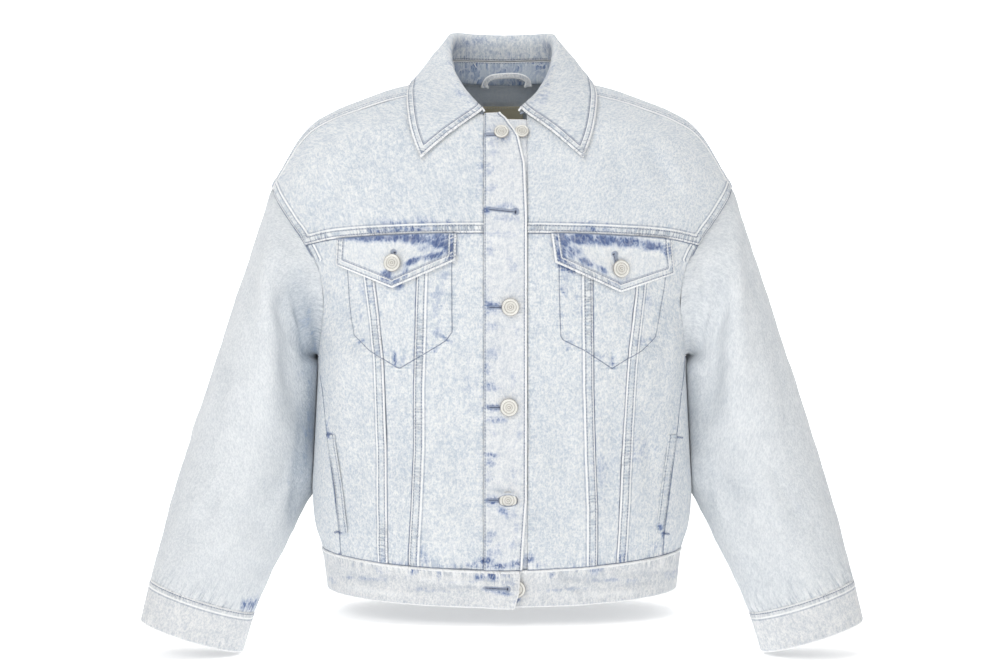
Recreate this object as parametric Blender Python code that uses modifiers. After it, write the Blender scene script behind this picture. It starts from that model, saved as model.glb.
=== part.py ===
"""Oversized trucker jacket in washed denim, hollow as it is worn, with open neck, hem and cuffs.

Every length in the tables is in millimetres and is turned into metres when a mesh is made.
+Z is up, the front faces -Y, and +X is the wearer's left.  The origin lies on the centre plane at the
height of the neck points of the shoulders, where a wearer's shoulders carry the jacket.
"""

import math
from collections import namedtuple

import bmesh
import bpy
import numpy as np
from mathutils import Matrix, Vector

MM = 0.001

# Cloth and seams.
CLOTH = 1.5  # one layer of denim with its seam allowances
BAND_CLOTH = 2.8  # waistband and cuffs, folded double
PLACKET_CLOTH = 2.4  # button plackets, folded double
COLLAR_CLOTH = 2.2
SEAM_GAP = 0.6  # between two pieces at a seam
COLLAR_SEAM_GAP = 0.7  # between the stand and the leaf, where the cloth bends
BAND_GAP = 0.9  # further between the side panels and the stiffer waistband
SEAM_RIDGE = 1.2  # a felled seam stands this much above the plain cloth
RIDGE_WIDTH = 11.0
RIDGE_STEP = 0.7  # how far the ridge's flank runs along the cloth
LAP_GAP = 0.7  # between the two plackets where they lap

# The torso: rings from the front hem up over the shoulders and down to the back hem.
# centre_z and edge_z are heights on the centre plane and at the ring's edge; half_width and depth are
# the ring's own half axes (depth is negative in front); roundness is its exponent; edge_x is where the
# side or the armhole cuts it; shoulder is how far its height follows the shoulder's own profile.
Ring = namedtuple("Ring", "centre_z edge_z half_width depth roundness edge_x shoulder")
TORSO = {
    "front hem": (-565, -557, 193, -127, 2.4, 193, 0),
    "front band": (-525, -512, 199, -131, 2.4, 199, 0),
    "front blouse": (-497, -489, 206.5, -137, 2.35, 206.5, 0),
    "front low": (-452, -448, 210.5, -139, 2.35, 210.5, 0),
    "front waist": (-400, -400, 208.5, -138, 2.3, 208.5, 0),
    "front rib": (-350, -350, 206, -137, 2.3, 205.5, 0),
    "front armpit": (-300, -300, 205, -136, 2.3, 202, 0),
    "front bust": (-238, -242, 214, -134, 2.3, 194.5, 0.5),
    "front flap": (-203, -208, 224, -131.5, 2.3, 198, 0.8),
    "front yoke": (-169, -179, 234, -128, 2.3, 212, 1),
    "front chest": (-120, -156, 246, -119, 2.3, 228.5, 1),
    "front bone": (-78, -139, 255, -105, 2.3, 240.5, 1),
    "front neck": (-42, -126, 261, -86, 2.3, 248.5, 1),
    "front top": (-8, -117, 264, -47, 2.3, 253, 1),
    "ridge": (10, -112, 265, 0, 2.3, 255.5, 1),
    "back top": (14, -115, 264, 40, 2.3, 252, 1),
    "back neck": (11, -122, 261, 68, 2.3, 247, 1),
    "back nape": (-23, -135, 256, 97, 2.3, 239, 1),
    "back blade": (-80, -152, 248, 116, 2.3, 228, 1),
    "back yoke": (-150, -179, 236, 127, 2.3, 210, 1),
    "back flap": (-195, -208, 225, 130, 2.3, 199, 0.8),
    "back bust": (-238, -242, 214, 131, 2.3, 195.5, 0.5),
    "back armpit": (-300, -300, 205, 130, 2.3, 202, 0),
    "back rib": (-350, -350, 206, 128, 2.3, 205.5, 0),
    "back waist": (-400, -400, 208.5, 126, 2.3, 208.5, 0),
    "back low": (-452, -448, 210.5, 127, 2.35, 210.5, 0),
    "back blouse": (-497, -489, 206.5, 125, 2.35, 206.5, 0),
    "back band": (-525, -512, 199, 120, 2.4, 199, 0),
    "back hem": (-565, -557, 193, 115, 2.4, 193, 0),
}

# How far the shoulder has dropped, as a share of its whole drop, at each share of its length.
SHOULDER_ALONG = (0, 0.3, 0.453, 0.618, 0.748, 0.835, 0.894, 0.925, 0.953, 0.984, 1)
SHOULDER_DROP = (0, 0.035, 0.088, 0.202, 0.314, 0.43, 0.58, 0.69, 0.8, 0.916, 1)

# The neck hole in plan, an ellipse.
NECK_HALF_WIDTH = 74
NECK_FRONT_Y = -86
NECK_BACK_Y = 68
NECK_FRONT_ANGLE = 15.7  # where the collar starts, in degrees round from the centre front
NECK_SHOULDER_ANGLE = 61.5  # where the shoulder seam, forward of the ridge, meets it

# Seams of the front seen from in front: rows of the height z and the distance x from the centre, on
# the wearer's right (-1) and left (1).
PLACKET_X = {-1: 19, 1: 27}  # the seams beside the two plackets
INNER_SEAM = {
    -1: ((-150, 88), (-218, 89.7), (-335, 92.8), (-394, 92.5), (-460, 95.2), (-512, 98.5)),
    1: ((-150, 95), (-229, 95.8), (-335, 96.5), (-411, 98.4), (-459, 100.5), (-516, 100.6)),
}
OUTER_SEAM = {
    -1: ((-150, 144), (-218, 135.5), (-260, 130), (-302, 125.7), (-394, 121.9), (-512, 121)),
    1: ((-150, 149), (-236, 141.7), (-291, 135), (-335, 132), (-411, 127), (-515, 122)),
}
SIDE_SEAM = ((-300, 202), (-320, 200), (-338, 196), (-385, 189.5), (-440, 181), (-487, 174.5),
             (-525, 172.5))
BACK_SIDE_SEAM = ((-300, 202), (-340, 195), (-400, 187), (-460, 181), (-525, 173))
# The free edge of the placket on top, and the end of the waistband below it.
LAP_EDGE = ((-40, -3), (-45, 2.7), (-52, 7.5), (-58, 12), (-65, 16), (-79, 19), (-95, 22.4), (-150, 24.6),
            (-450, 24.3), (-504, 20.5), (-526, 19.4), (-548, 18), (-566, 12.7))
UNDERLAP_X = 17  # how far the placket underneath reaches past the centre
UNDERLAP_DROP = 7  # how much lower its top ends
BAND_LAP = 1.7  # how far each end of the waistband is shifted where they lap
BAND_LAP_START, BAND_LAP_END = 75, 26  # the shift starts and is whole this far from the centre
BAND_LIFT = (5.6, 5.7, 5.5, 0.9)  # how far the end on top stands off over its button, from the hem up
BAND_LIFT_X = (-26, 4)  # where it starts to and where it has

# Sleeve rings below the armhole: the ring's point next to the body, its outer point, and its depth.
SleeveRing = namedtuple("SleeveRing", "inner_x inner_z outer_x outer_z half_depth centre_y")
SLEEVE = {
    "cap": (211, -304, 269, -152, 78, 2),
    "upper": (213, -320, 284, -196, 83, 5),
    "biceps": (214, -342, 301, -246, 84, 8),
    "above elbow": (214, -370, 318.5, -300, 82, 9),
    "elbow": (214, -408, 336.5, -355, 78, 8),
    "below elbow": (215, -451, 353, -408, 72, 5),
    "forearm": (234, -494, 368.5, -460, 64, 1),
    "wrist": (256, -539, 380.5, -507, 54, -4),
    "cuff seam": (277, -585, 390.5, -548, 45, -8),
    "cuff end": (290, -629, 401, -594, 43, -10),
}
SLEEVE_PLACES = (0, 0.15, 0.5, 1, 1.5, 2, 2.6, 3.2, 3.8, 4.5, 5.3, 6.2, 7, 8, 9)  # rows of its mesh
SLEEVE_CLEARANCE = 5.0  # between the middle of the sleeve's cloth and the body's
ARMPIT_REACH = 16  # how far below the armpit it has reached that
PEAK = 20.0  # how strongly it rises from the seam under the arm before it turns down
SLEEVE_START = 0.6  # how strongly the sleeve leaves the armhole along the body's cloth
SLEEVE_GAP = 0.4  # between the armhole and the sleeve's first row
SLEEVE_FREE_ROW = 3  # the first row that the body can touch
SLEEVE_TURN = (1, 0.7, 0.3)  # how much the first rows face as the body's cloth does
# Folds of the sleeve: the ring it starts and ends at, its angle from the outer side round the front at
# each end, its half width in degrees, and how deep the cloth sinks (or rises, where it is negative).
SleeveFold = namedtuple("SleeveFold", "start end start_angle end_angle half_width depth")
SLEEVE_FOLDS = (
    (0.9, 5.2, 118, 150, 30, 8),
    (1.2, 4.6, 78, 104, 26, -4),
    (4.6, 7.6, 132, 112, 28, 6),
    (0.8, 4.4, 232, 214, 32, 7),
    (5.0, 8.2, 246, 262, 30, 4),
)

SLEEVE_FOLD_FULLNESS = 0.7  # below 1, a fold keeps its depth nearer its ends

# Collar sections from the centre back to the front end: the share of the way round, the top of the
# stand, the roll line, the plan position of the outer edge and its height above the body, and how far
# the leaf bulges between them.
CollarSection = namedtuple("CollarSection", "along stand roll edge_plan_and_lift bulge")
COLLAR = (
    (0.00, (0, 65, 38), (0, 64, 68.5), (0, 88, 7), 5),
    (0.18, (33, 58, 38), (31, 59, 68.5), (46, 85, 6), 5),
    (0.36, (57, 38, 35), (52, 43, 67), (80, 60, 5), 4),
    (0.50, (67, 12, 27), (60, 16, 58), (97, 18, 4), 2),
    (0.62, (67, -13, 14), (60, -8, 38), (102, -22, 3.4), 1),
    (0.74, (61, -40, -3), (53.5, -36, 14), (103, -55, 4), 2),
    (0.87, (43, -68, -22), (39.5, -68, -13), (97, -89, 4.3), 3),
    (1.00, (19.5, -81.5, -35.5), (20.5, -87, -33), (86, -104.5, 4.3), 1),
)
ROLL_RADIUS = 3.2
ROLL_DROP = 4.2  # how far below the roll line the stand and the leaf are ROLL_RADIUS away from it
ROLL_DROP_SHARE = 0.4  # and at most, as a share of the stand's height below the roll
COLLAR_START = 10.0
STAND_SHARES = (0, 0.4, 0.7, 1)  # rows of the stand, as shares of its height
LEAF_POINTS = 5  # rows of the leaf below its roll
LEAF_ROW = 8  # the first row of the collar past its roll
COLLAR_GAP = 0.5  # between the stand and the body
COLLAR_LIFT = 4.3  # least height of the leaf above the middle of the body's cloth

# Chest pocket flap and bag, seen from in front: corners as (x, z).
FLAP_TOP_X = {-1: (48, 174.5), 1: (52, 180)}
FLAP_CORNERS = {
    -1: ((48.6, -198.7), (114.5, -227), (174.5, -201.6)),
    1: ((56, -201), (124, -231.4), (181.4, -210.6)),
}
FLAP_CLOTH = 2.2
FLAP_LIFT = 2.4  # its underside above the body's middle at the yoke seam
FLAP_SPRING = 2.4  # and how much further it stands off at its point
FLAP_CURVE = 1.5  # above 1, most of that comes near the point
BAG_TOP_X = {-1: (55, 166), 1: (60, 172)}
BAG_CORNERS = {
    -1: ((55, -283), (113, -311), (160, -278)),
    1: ((62, -281), (117, -312), (167, -278)),
}
BAG_TOP_GAP = 3  # its top below the yoke seam
BAG_CLOTH = 0.9
BAG_DEPTH = 1.5  # outer face of the bag inside the body's middle

# Hand pocket: the stretch of the side seam that it opens in.
WELT_TOP, WELT_BOTTOM = -385, -488
WELT_SEAM = 1  # its edge beside the seam
WELT_WIDTH = 9.0
WELT_CLOTH = 1.3
WELT_LIFT = 1.35

# Buttons: where they sit, seen from in front, and what they sit on.
Button = namedtuple("Button", "x z radius base")
BUTTONS = {
    "button_collar": (-0.5, -62, 8.0, 3.1),
    "button_collar_under": (21.4, -60, 7.6, 0.3),
    "button_chest": (9, -248, 9.4, 3.1),
    "button_waist": (7.5, -353, 9.4, 3.1),
    "button_low": (6.5, -450, 9.4, 3.1),
    "button_band": (15.5, -544.5, 9.4, 0.1),
    "button_flap_right": (-113.4, -201, 9.4, 6.5),
    "button_flap_left": (123.4, -207, 9.4, 6.5),
}
# Half of a button's section, out from its axis and up from the cloth, for a radius of 1.
BUTTON_SECTION = ((0, 0.5), (0.38, 0.47), (0.46, 0.41), (0.78, 0.42), (0.88, 0.48), (1, 0.38),
                  (0.97, 0.24), (0.36, 0.17), (0.34, 0), (0, 0))
BUTTON_SIDES = 14

# Hanging loop and label inside the back neck.
LOOP_WIDTH, LOOP_CLOTH = 6.0, 2.2
LOOP_ROUTE = ((-20, 57, 7), (-19, 55, 13), (-12, 53.5, 18.5), (5, 53, 20.5), (20, 53.5, 20), (29, 55, 15.5),
              (30, 57, 8))
LABEL_X = (-24, 24)
LABEL_Z = (-9, -41)
LABEL_CLOTH = 0.8
LABEL_DEPTH = 3.2

# How finely the cloth is divided: rows along it and columns across it.
FRONT_NECK_POINTS, BACK_NECK_POINTS = 4, 8
YOKE_RINGS, ARM_RINGS, BODY_RINGS, BAND_RINGS = 5, 5, 10, 4
YOKE_COLUMNS, PANEL_COLUMNS, DART_COLUMNS, BACK_COLUMNS = 9, 5, 4, 17
PLACKET_COLUMNS, BAND_FRONT_COLUMNS, BAND_BACK_COLUMNS = 5, 15, 19
GUSSET_COLUMNS = 4
FLAP_ROWS, BAG_ROWS, POINT_COLUMNS, WELT_ROWS = 5, 6, 9, 7
LOOP_POINTS, LABEL_ROWS, LABEL_COLUMNS = 15, 4, 6

# Steps of the numerical work.
SMALL_TURN = 0.01  # an angle round a ring
SMALL_STEP = 1.0  # a length along the cloth
COLLAR_STEP = 0.2  # and along the collar, which bends sharply
HALVINGS = 40
NECK_MARGIN = 10  # how far outside the named rings the neckline is looked for
MERGE = 0.00001  # a turned section's ends are welded within this, in metres
SHARP_ANGLE = 50  # edges sharper than this are shaded sharp, in degrees

# Colours as linear red, green and blue, with roughness and metallic.
MATERIALS = {
    "denim": ((0.72, 0.77, 0.82), 0.92, 0.0),
    "denim_faded": ((0.77, 0.79, 0.82), 0.92, 0.0),
    "denim_blue": ((0.36, 0.45, 0.62), 0.92, 0.0),
    "pocketing": ((0.78, 0.78, 0.75), 0.95, 0.0),
    "button_metal": ((0.80, 0.78, 0.70), 0.38, 0.85),
    "label": ((0.62, 0.58, 0.47), 0.85, 0.0),
}


# ---------------------------------------------------------------- curves and the torso's surface


def slopes(knots, values):
    """The slope at each knot of a smooth curve through the values."""
    step = np.diff(knots)[:, None]
    rise = np.diff(values, axis=0) / step
    inner = (rise[:-1] * step[1:] + rise[1:] * step[:-1]) / (step[1:] + step[:-1])
    return np.vstack([rise[:1], inner, rise[-1:]])


def smooth(knots, values, slope, at):
    """The value at a place along the smooth curve through the values at the knots."""
    i = int(np.clip(np.searchsorted(knots, at) - 1, 0, len(knots) - 2))
    step = knots[i + 1] - knots[i]
    t = (at - knots[i]) / step
    a = values[i] * (1 + 2 * t) * (1 - t) ** 2 + slope[i] * step * t * (1 - t) ** 2
    return a + values[i + 1] * t * t * (3 - 2 * t) + slope[i + 1] * step * t * t * (t - 1)


def curve_through(knots, values):
    """A function that gives the smooth curve's value at any place."""
    knots = np.array(knots, float)
    values = np.array(values, float).reshape(len(knots), -1)
    slope = slopes(knots, values)
    return lambda at: smooth(knots, values, slope, at)


def table_x(table):
    """A function that gives the distance x of a seam at a height z, from its rows (z, x)."""
    rows = sorted(table)
    return lambda z: float(np.interp(z, [r[0] for r in rows], [r[1] for r in rows]))


def torso_knots():
    """How far along the centre line each ring lies, in front of (negative) or behind the ridge."""
    centre = np.array([(row[3], row[0]) for row in TORSO.values()], float)
    along = np.concatenate([[0], np.cumsum(np.hypot(*np.diff(centre, axis=0).T))])
    return along - along[list(TORSO).index("ridge")]


KNOTS = torso_knots()
ROW = dict(zip(TORSO, KNOTS))
torso_values = curve_through(KNOTS, list(TORSO.values()))
shoulder_drop = curve_through(SHOULDER_ALONG, SHOULDER_DROP)


def torso_ring(row):
    """The ring at a place along the body, on or between the named ones."""
    return Ring(*torso_values(row))


def torso(angle, row):
    """The middle of the body's cloth at an angle round from the centre line, on a ring."""
    ring = torso_ring(row)
    across = min(abs(math.sin(angle)), 1.0)
    x = math.copysign(ring.half_width * across, angle)
    y = ring.depth * max(1 - across**ring.roundness, 0) ** (1 / ring.roundness)
    along = min(abs(x) / ring.edge_x, 1.0)
    drop = (1 - ring.shoulder) * along**2 + ring.shoulder * float(shoulder_drop(along)[0])
    return np.array([x, y, ring.centre_z + (ring.edge_z - ring.centre_z) * drop])


def torso_normal(angle, row):
    """The outward direction of the body's cloth there."""
    low, high = max(angle - SMALL_TURN, -math.pi / 2), min(angle + SMALL_TURN, math.pi / 2)
    across = torso(high, row) - torso(low, row)
    along = torso(angle, row + SMALL_STEP) - torso(angle, row - SMALL_STEP)
    normal = np.cross(across, along)
    return normal / np.linalg.norm(normal)


def solve(function, low, high):
    """Where an increasing function passes nought."""
    for _ in range(HALVINGS):
        middle = (low + high) / 2
        if function(middle) < 0:
            low = middle
        else:
            high = middle
    return (low + high) / 2


def angle_at(row, x_of_z, side=1):
    """The angle on a ring where the cloth passes the seam x_of_z, on one side of the body."""

    def past(angle):
        x, _, z = torso(angle, row)
        return x * side - x_of_z(z)

    if side > 0:
        return solve(past, -math.pi / 2, math.pi / 2)
    return -solve(lambda a: past(-a), -math.pi / 2, math.pi / 2)


def angle_across(x, row):
    """The angle on a ring at a distance x from the centre plane."""
    return math.asin(x / torso_ring(row).half_width)


def armhole(row):
    """The angle on a ring where the armhole cuts it."""
    ring = torso_ring(row)
    return math.asin(min(ring.edge_x / ring.half_width, 1.0))


def spot_under(x, y, first, last):
    """(angle, ring) of the point of the body at a plan position, between two rings."""
    row = solve(lambda r: torso(angle_across(x, r), r)[1] - y, first, last)
    return angle_across(x, row), row


def spot_seen(x, z, lowest, highest):
    """(angle, ring) of the point that is seen at (x, z) from in front or behind, between two rings."""

    def ring(share):
        return lowest + (highest - lowest) * share

    row = ring(solve(lambda share: torso(angle_across(x, ring(share)), ring(share))[2] - z, 0, 1))
    return angle_across(x, row), row


def neck_point(degrees):
    """(angle, ring) of the point of the neckline this far round from the centre front."""
    middle_y = (NECK_FRONT_Y + NECK_BACK_Y) / 2
    half_depth = (NECK_BACK_Y - NECK_FRONT_Y) / 2
    x = NECK_HALF_WIDTH * math.sin(math.radians(degrees))
    y = middle_y - half_depth * math.cos(math.radians(degrees))
    return spot_under(x, y, ROW["front neck"] - NECK_MARGIN, ROW["back neck"] + NECK_MARGIN)


def ring_at_height(height, back):
    """The ring whose edge is at this height, on the front or the back, at the armpit or below it."""
    low, high = ("back armpit", "back hem") if back else ("front hem", "front armpit")
    sign = -1 if back else 1
    return solve(lambda r: (torso_ring(r).edge_z - height) * sign, ROW[low], ROW[high])


# ---------------------------------------------------------------- the rings that pieces share

FRONT_NECK = [neck_point(a) for a in np.linspace(NECK_FRONT_ANGLE, NECK_SHOULDER_ANGLE, FRONT_NECK_POINTS)]
BACK_NECK = [neck_point(a) for a in np.linspace(NECK_SHOULDER_ANGLE, 180, BACK_NECK_POINTS)]
NECK_ROW = FRONT_NECK[0][1]
NAPE_ROW = BACK_NECK[-1][1]

RIDGE_ROW = ROW["front yoke"] + RIDGE_WIDTH  # the top of the yoke seam's ridge
CHEST_ROWS = list(np.linspace(RIDGE_ROW + RIDGE_STEP, NECK_ROW, YOKE_RINGS))
YOKE_ROWS = [ROW["front yoke"], RIDGE_ROW, *CHEST_ROWS, *(row for _, row in FRONT_NECK[1:])]
BACK_YOKE_ROWS = [row for _, row in BACK_NECK]
BACK_YOKE_ROWS += list(np.linspace(NAPE_ROW, ROW["back yoke"], YOKE_RINGS))[1:]
ARM_ROWS = list(np.linspace(ROW["front armpit"], ROW["front yoke"], ARM_RINGS))
BODY_ROWS = list(np.linspace(ROW["front band"], ROW["front armpit"], BODY_RINGS))
FRONT_ROWS = BODY_ROWS + ARM_ROWS[1:]
BACK_ARM_ROWS = list(np.linspace(ROW["back yoke"], ROW["back armpit"], ARM_RINGS))
BACK_ROWS = BACK_ARM_ROWS + list(np.linspace(ROW["back armpit"], ROW["back band"], BODY_RINGS))[1:]
GUSSET_HEIGHTS = [torso_ring(r).edge_z for r in BODY_ROWS[::-1]]


# ---------------------------------------------------------------- sheets of cloth and their walls


class Sheet:
    """Points in rows and columns with their outward directions and how much each is raised."""

    def __init__(self, points, normals):
        self.points = np.array(points, float)
        self.normals = np.array(normals, float)
        self.raised = np.zeros(self.points.shape[:2])

    def inset(self, amount, sides="tblr"):
        """Draws the edges named in sides back along the cloth: top and bottom rows, left and right."""
        pairs = {"b": ((0, ...), (1, ...)), "t": ((-1, ...), (-2, ...)),
                 "l": ((slice(None), 0), (slice(None), 1)), "r": ((slice(None), -1), (slice(None), -2))}
        for side in sides:
            edge, inner = pairs[side]
            way = self.points[inner] - self.points[edge]
            length = np.linalg.norm(way, axis=-1, keepdims=True)
            self.points[edge] += way / length * amount
        return self


def sheet_of_spots(spots):
    """A sheet on the body from rows of (angle, ring)."""
    points = [[torso(*spot) for spot in line] for line in spots]
    return Sheet(points, [[torso_normal(*spot) for spot in line] for line in spots])


def sheet_on_torso(rows, columns, raised_rows=(), raised_columns=()):
    """A sheet on the body: rows are rings, and each column is a function from a ring to an angle."""
    sheet = sheet_of_spots([[(column(row), row) for column in columns] for row in rows])
    sheet.raised[list(raised_rows), :] = SEAM_RIDGE
    sheet.raised[:, list(raised_columns)] = SEAM_RIDGE
    return sheet


def between(left, right, count):
    """Column functions spread evenly from left to right, both included."""

    def column(share):
        return lambda row: left(row) * (1 - share) + right(row) * share

    return [column(share) for share in np.linspace(0, 1, count)]


def make_wall(name, material, sheets, inner, outer):
    """One closed solid from sheets that share points: its faces lie inner and outer along the normals."""
    sheets = sheets if isinstance(sheets, list) else [sheets]
    corner, outside, inside, cells = {}, [], [], []
    for sheet in sheets:
        rows, columns = sheet.points.shape[:2]
        low = inner if np.ndim(inner) else np.full((rows, columns), float(inner))
        high = outer if np.ndim(outer) else np.full((rows, columns), float(outer))
        index = np.zeros((rows, columns), int)
        for r in range(rows):
            for c in range(columns):
                point, normal = sheet.points[r, c], sheet.normals[r, c]
                key = tuple(np.round(point, 3))
                if key not in corner:
                    corner[key] = len(outside)
                    outside.append(point + normal * (high[r, c] + sheet.raised[r, c]))
                    inside.append(point + normal * low[r, c])
                index[r, c] = corner[key]
        for r in range(rows - 1):
            for c in range(columns - 1):
                cells.append((index[r, c], index[r, c + 1], index[r + 1, c + 1], index[r + 1, c]))
    return mesh_of_wall(name, material, outside, inside, cells)


def mesh_of_wall(name, material, outside, inside, cells):
    """Joins the outer and inner points over the cells, and closes the rim where one cell ends."""
    mesh = bmesh.new()
    outer = [mesh.verts.new(Vector(p) * MM) for p in outside]
    inner = [mesh.verts.new(Vector(p) * MM) for p in inside]
    uses = {}
    for cell in cells:
        ring = [v for i, v in enumerate(cell) if v != cell[i - 1]]
        for a, b, c in ((ring[0], ring[i], ring[i + 1]) for i in range(1, len(ring) - 1)):
            mesh.faces.new((outer[a], outer[b], outer[c]))
            mesh.faces.new((inner[c], inner[b], inner[a]))
        for a, b in zip(ring, ring[1:] + ring[:1]):
            uses.setdefault(frozenset((a, b)), []).append((a, b))
    for edges in uses.values():
        if len(edges) == 1:
            a, b = edges[0]
            mesh.faces.new((outer[b], outer[a], inner[a], inner[b]))
    bmesh.ops.recalc_face_normals(mesh, faces=mesh.faces)
    data = bpy.data.meshes.new(name)
    mesh.to_mesh(data)
    mesh.free()
    return place(name, data, material)


def place(name, data, material):
    """A named object in the jacket's collection, shaded smooth over gentle bends."""
    data.materials.append(bpy.data.materials[material])
    data.shade_smooth()
    data.set_sharp_from_angle(angle=math.radians(SHARP_ANGLE))
    thing = bpy.data.objects.new(name, data)
    bpy.data.collections["denim_jacket"].objects.link(thing)
    return thing


def side_name(side):
    """+X is the wearer's left."""
    return "left" if side > 0 else "right"


# ---------------------------------------------------------------- body panels


def column_at(x_of_z, side):
    return lambda row: angle_at(row, x_of_z, side)


def shifted(x_of_z, shift):
    return lambda z: x_of_z(z) + shift


def ridged_columns(edge, side, inward, others):
    """Columns that form a felled ridge from a seam inward, then go on to the others."""
    ridge = [column_at(shifted(edge, inward * d), side) for d in (0, RIDGE_WIDTH, RIDGE_WIDTH + RIDGE_STEP)]
    return ridge[:2] + between(ridge[2], others, PANEL_COLUMNS)


def upright(x):
    """A seam that stays at one distance from the centre."""
    return lambda z: x


def front_yoke(side):
    """The chest above the yoke seam, from the placket and neckline out to the armhole."""
    necks = {row: angle for angle, row in FRONT_NECK}

    def inner_edge(row):
        at_placket = abs(angle_at(row, upright(PLACKET_X[side]), side))
        return side * max(necks.get(row, 0), at_placket)

    columns = between(inner_edge, lambda row: side * armhole(row), YOKE_COLUMNS)
    sheet = sheet_on_torso(YOKE_ROWS, columns, raised_rows=(0, 1))
    make_wall(f"front_yoke_{side_name(side)}", "denim", sheet.inset(SEAM_GAP / 2), -CLOTH / 2, CLOTH / 2)


def front_centre(side):
    """Between the placket and the dart panel, with a felled ridge along the dart panel."""
    columns = ridged_columns(table_x(INNER_SEAM[side]), side, -1, column_at(upright(PLACKET_X[side]), side))
    sheet = sheet_on_torso(FRONT_ROWS, columns, raised_columns=(0, 1))
    make_wall(f"front_centre_{side_name(side)}", "denim", sheet.inset(SEAM_GAP / 2), -CLOTH / 2, CLOTH / 2)


def front_dart(side):
    """The tapering panel between the two ridges."""
    inner, outer = (column_at(table_x(seam[side]), side) for seam in (INNER_SEAM, OUTER_SEAM))
    columns = between(inner, outer, DART_COLUMNS)
    sheet = sheet_on_torso(FRONT_ROWS, columns)
    make_wall(f"front_dart_{side_name(side)}", "denim", sheet.inset(SEAM_GAP / 2), -CLOTH / 2, CLOTH / 2)


def front_side(side):
    """From the dart panel out to the pocket seam and, above the armpit, the armhole."""

    def outer_edge(row):
        if row >= ROW["front armpit"]:
            return side * armhole(row)
        return angle_at(row, table_x(SIDE_SEAM), side)

    columns = ridged_columns(table_x(OUTER_SEAM[side]), side, 1, outer_edge)
    sheet = sheet_on_torso(FRONT_ROWS, columns, raised_columns=(0, 1))
    make_wall(f"front_side_{side_name(side)}", "denim", sheet.inset(SEAM_GAP / 2), -CLOTH / 2, CLOTH / 2)


def gusset_line(height, side):
    """Points and normals round the side of the body at one height, from pocket seam to back seam."""
    front, back = ring_at_height(height, False), ring_at_height(height, True)
    start = angle_at(front, table_x(SIDE_SEAM), side)
    end = angle_at(back, table_x(BACK_SIDE_SEAM), side)
    quarter = side * math.pi / 2
    half = GUSSET_COLUMNS // 2
    points = [torso(a, front) for a in np.linspace(start, quarter, half + 1)]
    normals = [torso_normal(a, front) for a in np.linspace(start, quarter, half + 1)]
    points += [torso(a, back) for a in np.linspace(quarter, end, half + 1)[1:]]
    normals += [torso_normal(a, back) for a in np.linspace(quarter, end, half + 1)[1:]]
    middle = torso_normal(quarter, front) + torso_normal(quarter, back)
    normals[half] = middle / np.linalg.norm(middle)
    return points, normals


def side_panel(side):
    """Under the arm, between the pocket seam and the back, up to the bottom of the armhole."""
    lines = [gusset_line(height, side) for height in GUSSET_HEIGHTS[::-1]]
    sheet = Sheet([line[0] for line in lines], [line[1] for line in lines])
    sheet.inset(SEAM_GAP / 2).inset(BAND_GAP, "b")
    make_wall(f"side_panel_{side_name(side)}", "denim", sheet, -CLOTH / 2, CLOTH / 2)


def back_yoke():
    """Over both shoulders from the forward shoulder seams to the seam across the back, in one piece."""
    necks = {row: angle for angle, row in BACK_NECK}
    halves = []
    for side in (1, -1):
        columns = between(
            lambda row, side=side: side * necks.get(row, 0),
            lambda row, side=side: side * armhole(row),
            YOKE_COLUMNS,
        )
        sheet = sheet_on_torso(BACK_YOKE_ROWS, columns)
        sheet.inset(SEAM_GAP / 2, "tbr")
        nape = BACK_YOKE_ROWS.index(NAPE_ROW)
        way = sheet.points[:nape, 1] - sheet.points[:nape, 0]
        sheet.points[:nape, 0] += way / np.linalg.norm(way, axis=1, keepdims=True) * SEAM_GAP / 2
        sheet.points[nape:, 0, 0] = 0
        halves.append(sheet)
    make_wall("back_yoke", "denim", halves, -CLOTH / 2, CLOTH / 2)


def back_panel():
    """The back below the yoke, from one side seam to the other."""

    def edge(row, side):
        if row <= ROW["back armpit"]:
            return side * armhole(row)
        return angle_at(row, table_x(BACK_SIDE_SEAM), side)

    columns = between(lambda row: edge(row, -1), lambda row: edge(row, 1), BACK_COLUMNS)
    sheet = sheet_on_torso(BACK_ROWS, columns)
    make_wall("back_panel", "denim", sheet.inset(SEAM_GAP / 2), -CLOTH / 2, CLOTH / 2)


# ---------------------------------------------------------------- plackets and waistband


def plackets():
    """The buttonhole placket on top and the button placket underneath, from neck to waistband."""
    rows = FRONT_ROWS + CHEST_ROWS[:-1] + [(CHEST_ROWS[-2] + NECK_ROW) / 2, NECK_ROW]
    lap = column_at(table_x(LAP_EDGE), 1)
    top = sheet_on_torso(rows, between(column_at(upright(PLACKET_X[-1]), -1), lap, PLACKET_COLUMNS))
    top.inset(SEAM_GAP / 2)
    make_wall("placket_right", "denim_faded", top, LAP_GAP / 2, LAP_GAP / 2 + PLACKET_CLOTH)
    reach = column_at(upright(-UNDERLAP_X), 1)
    rows[-1] -= UNDERLAP_DROP
    under = sheet_on_torso(rows, between(reach, column_at(upright(PLACKET_X[1]), 1), PLACKET_COLUMNS))
    under.inset(SEAM_GAP / 2)
    make_wall("placket_left", "denim_faded", under, -LAP_GAP / 2 - PLACKET_CLOTH, -LAP_GAP / 2)


def eased(value, start, end):
    """A share that goes smoothly from nought at the start to one at the end."""
    share = np.clip((value - start) / (end - start), 0, 1)
    return share * share * (3 - 2 * share)


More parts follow.
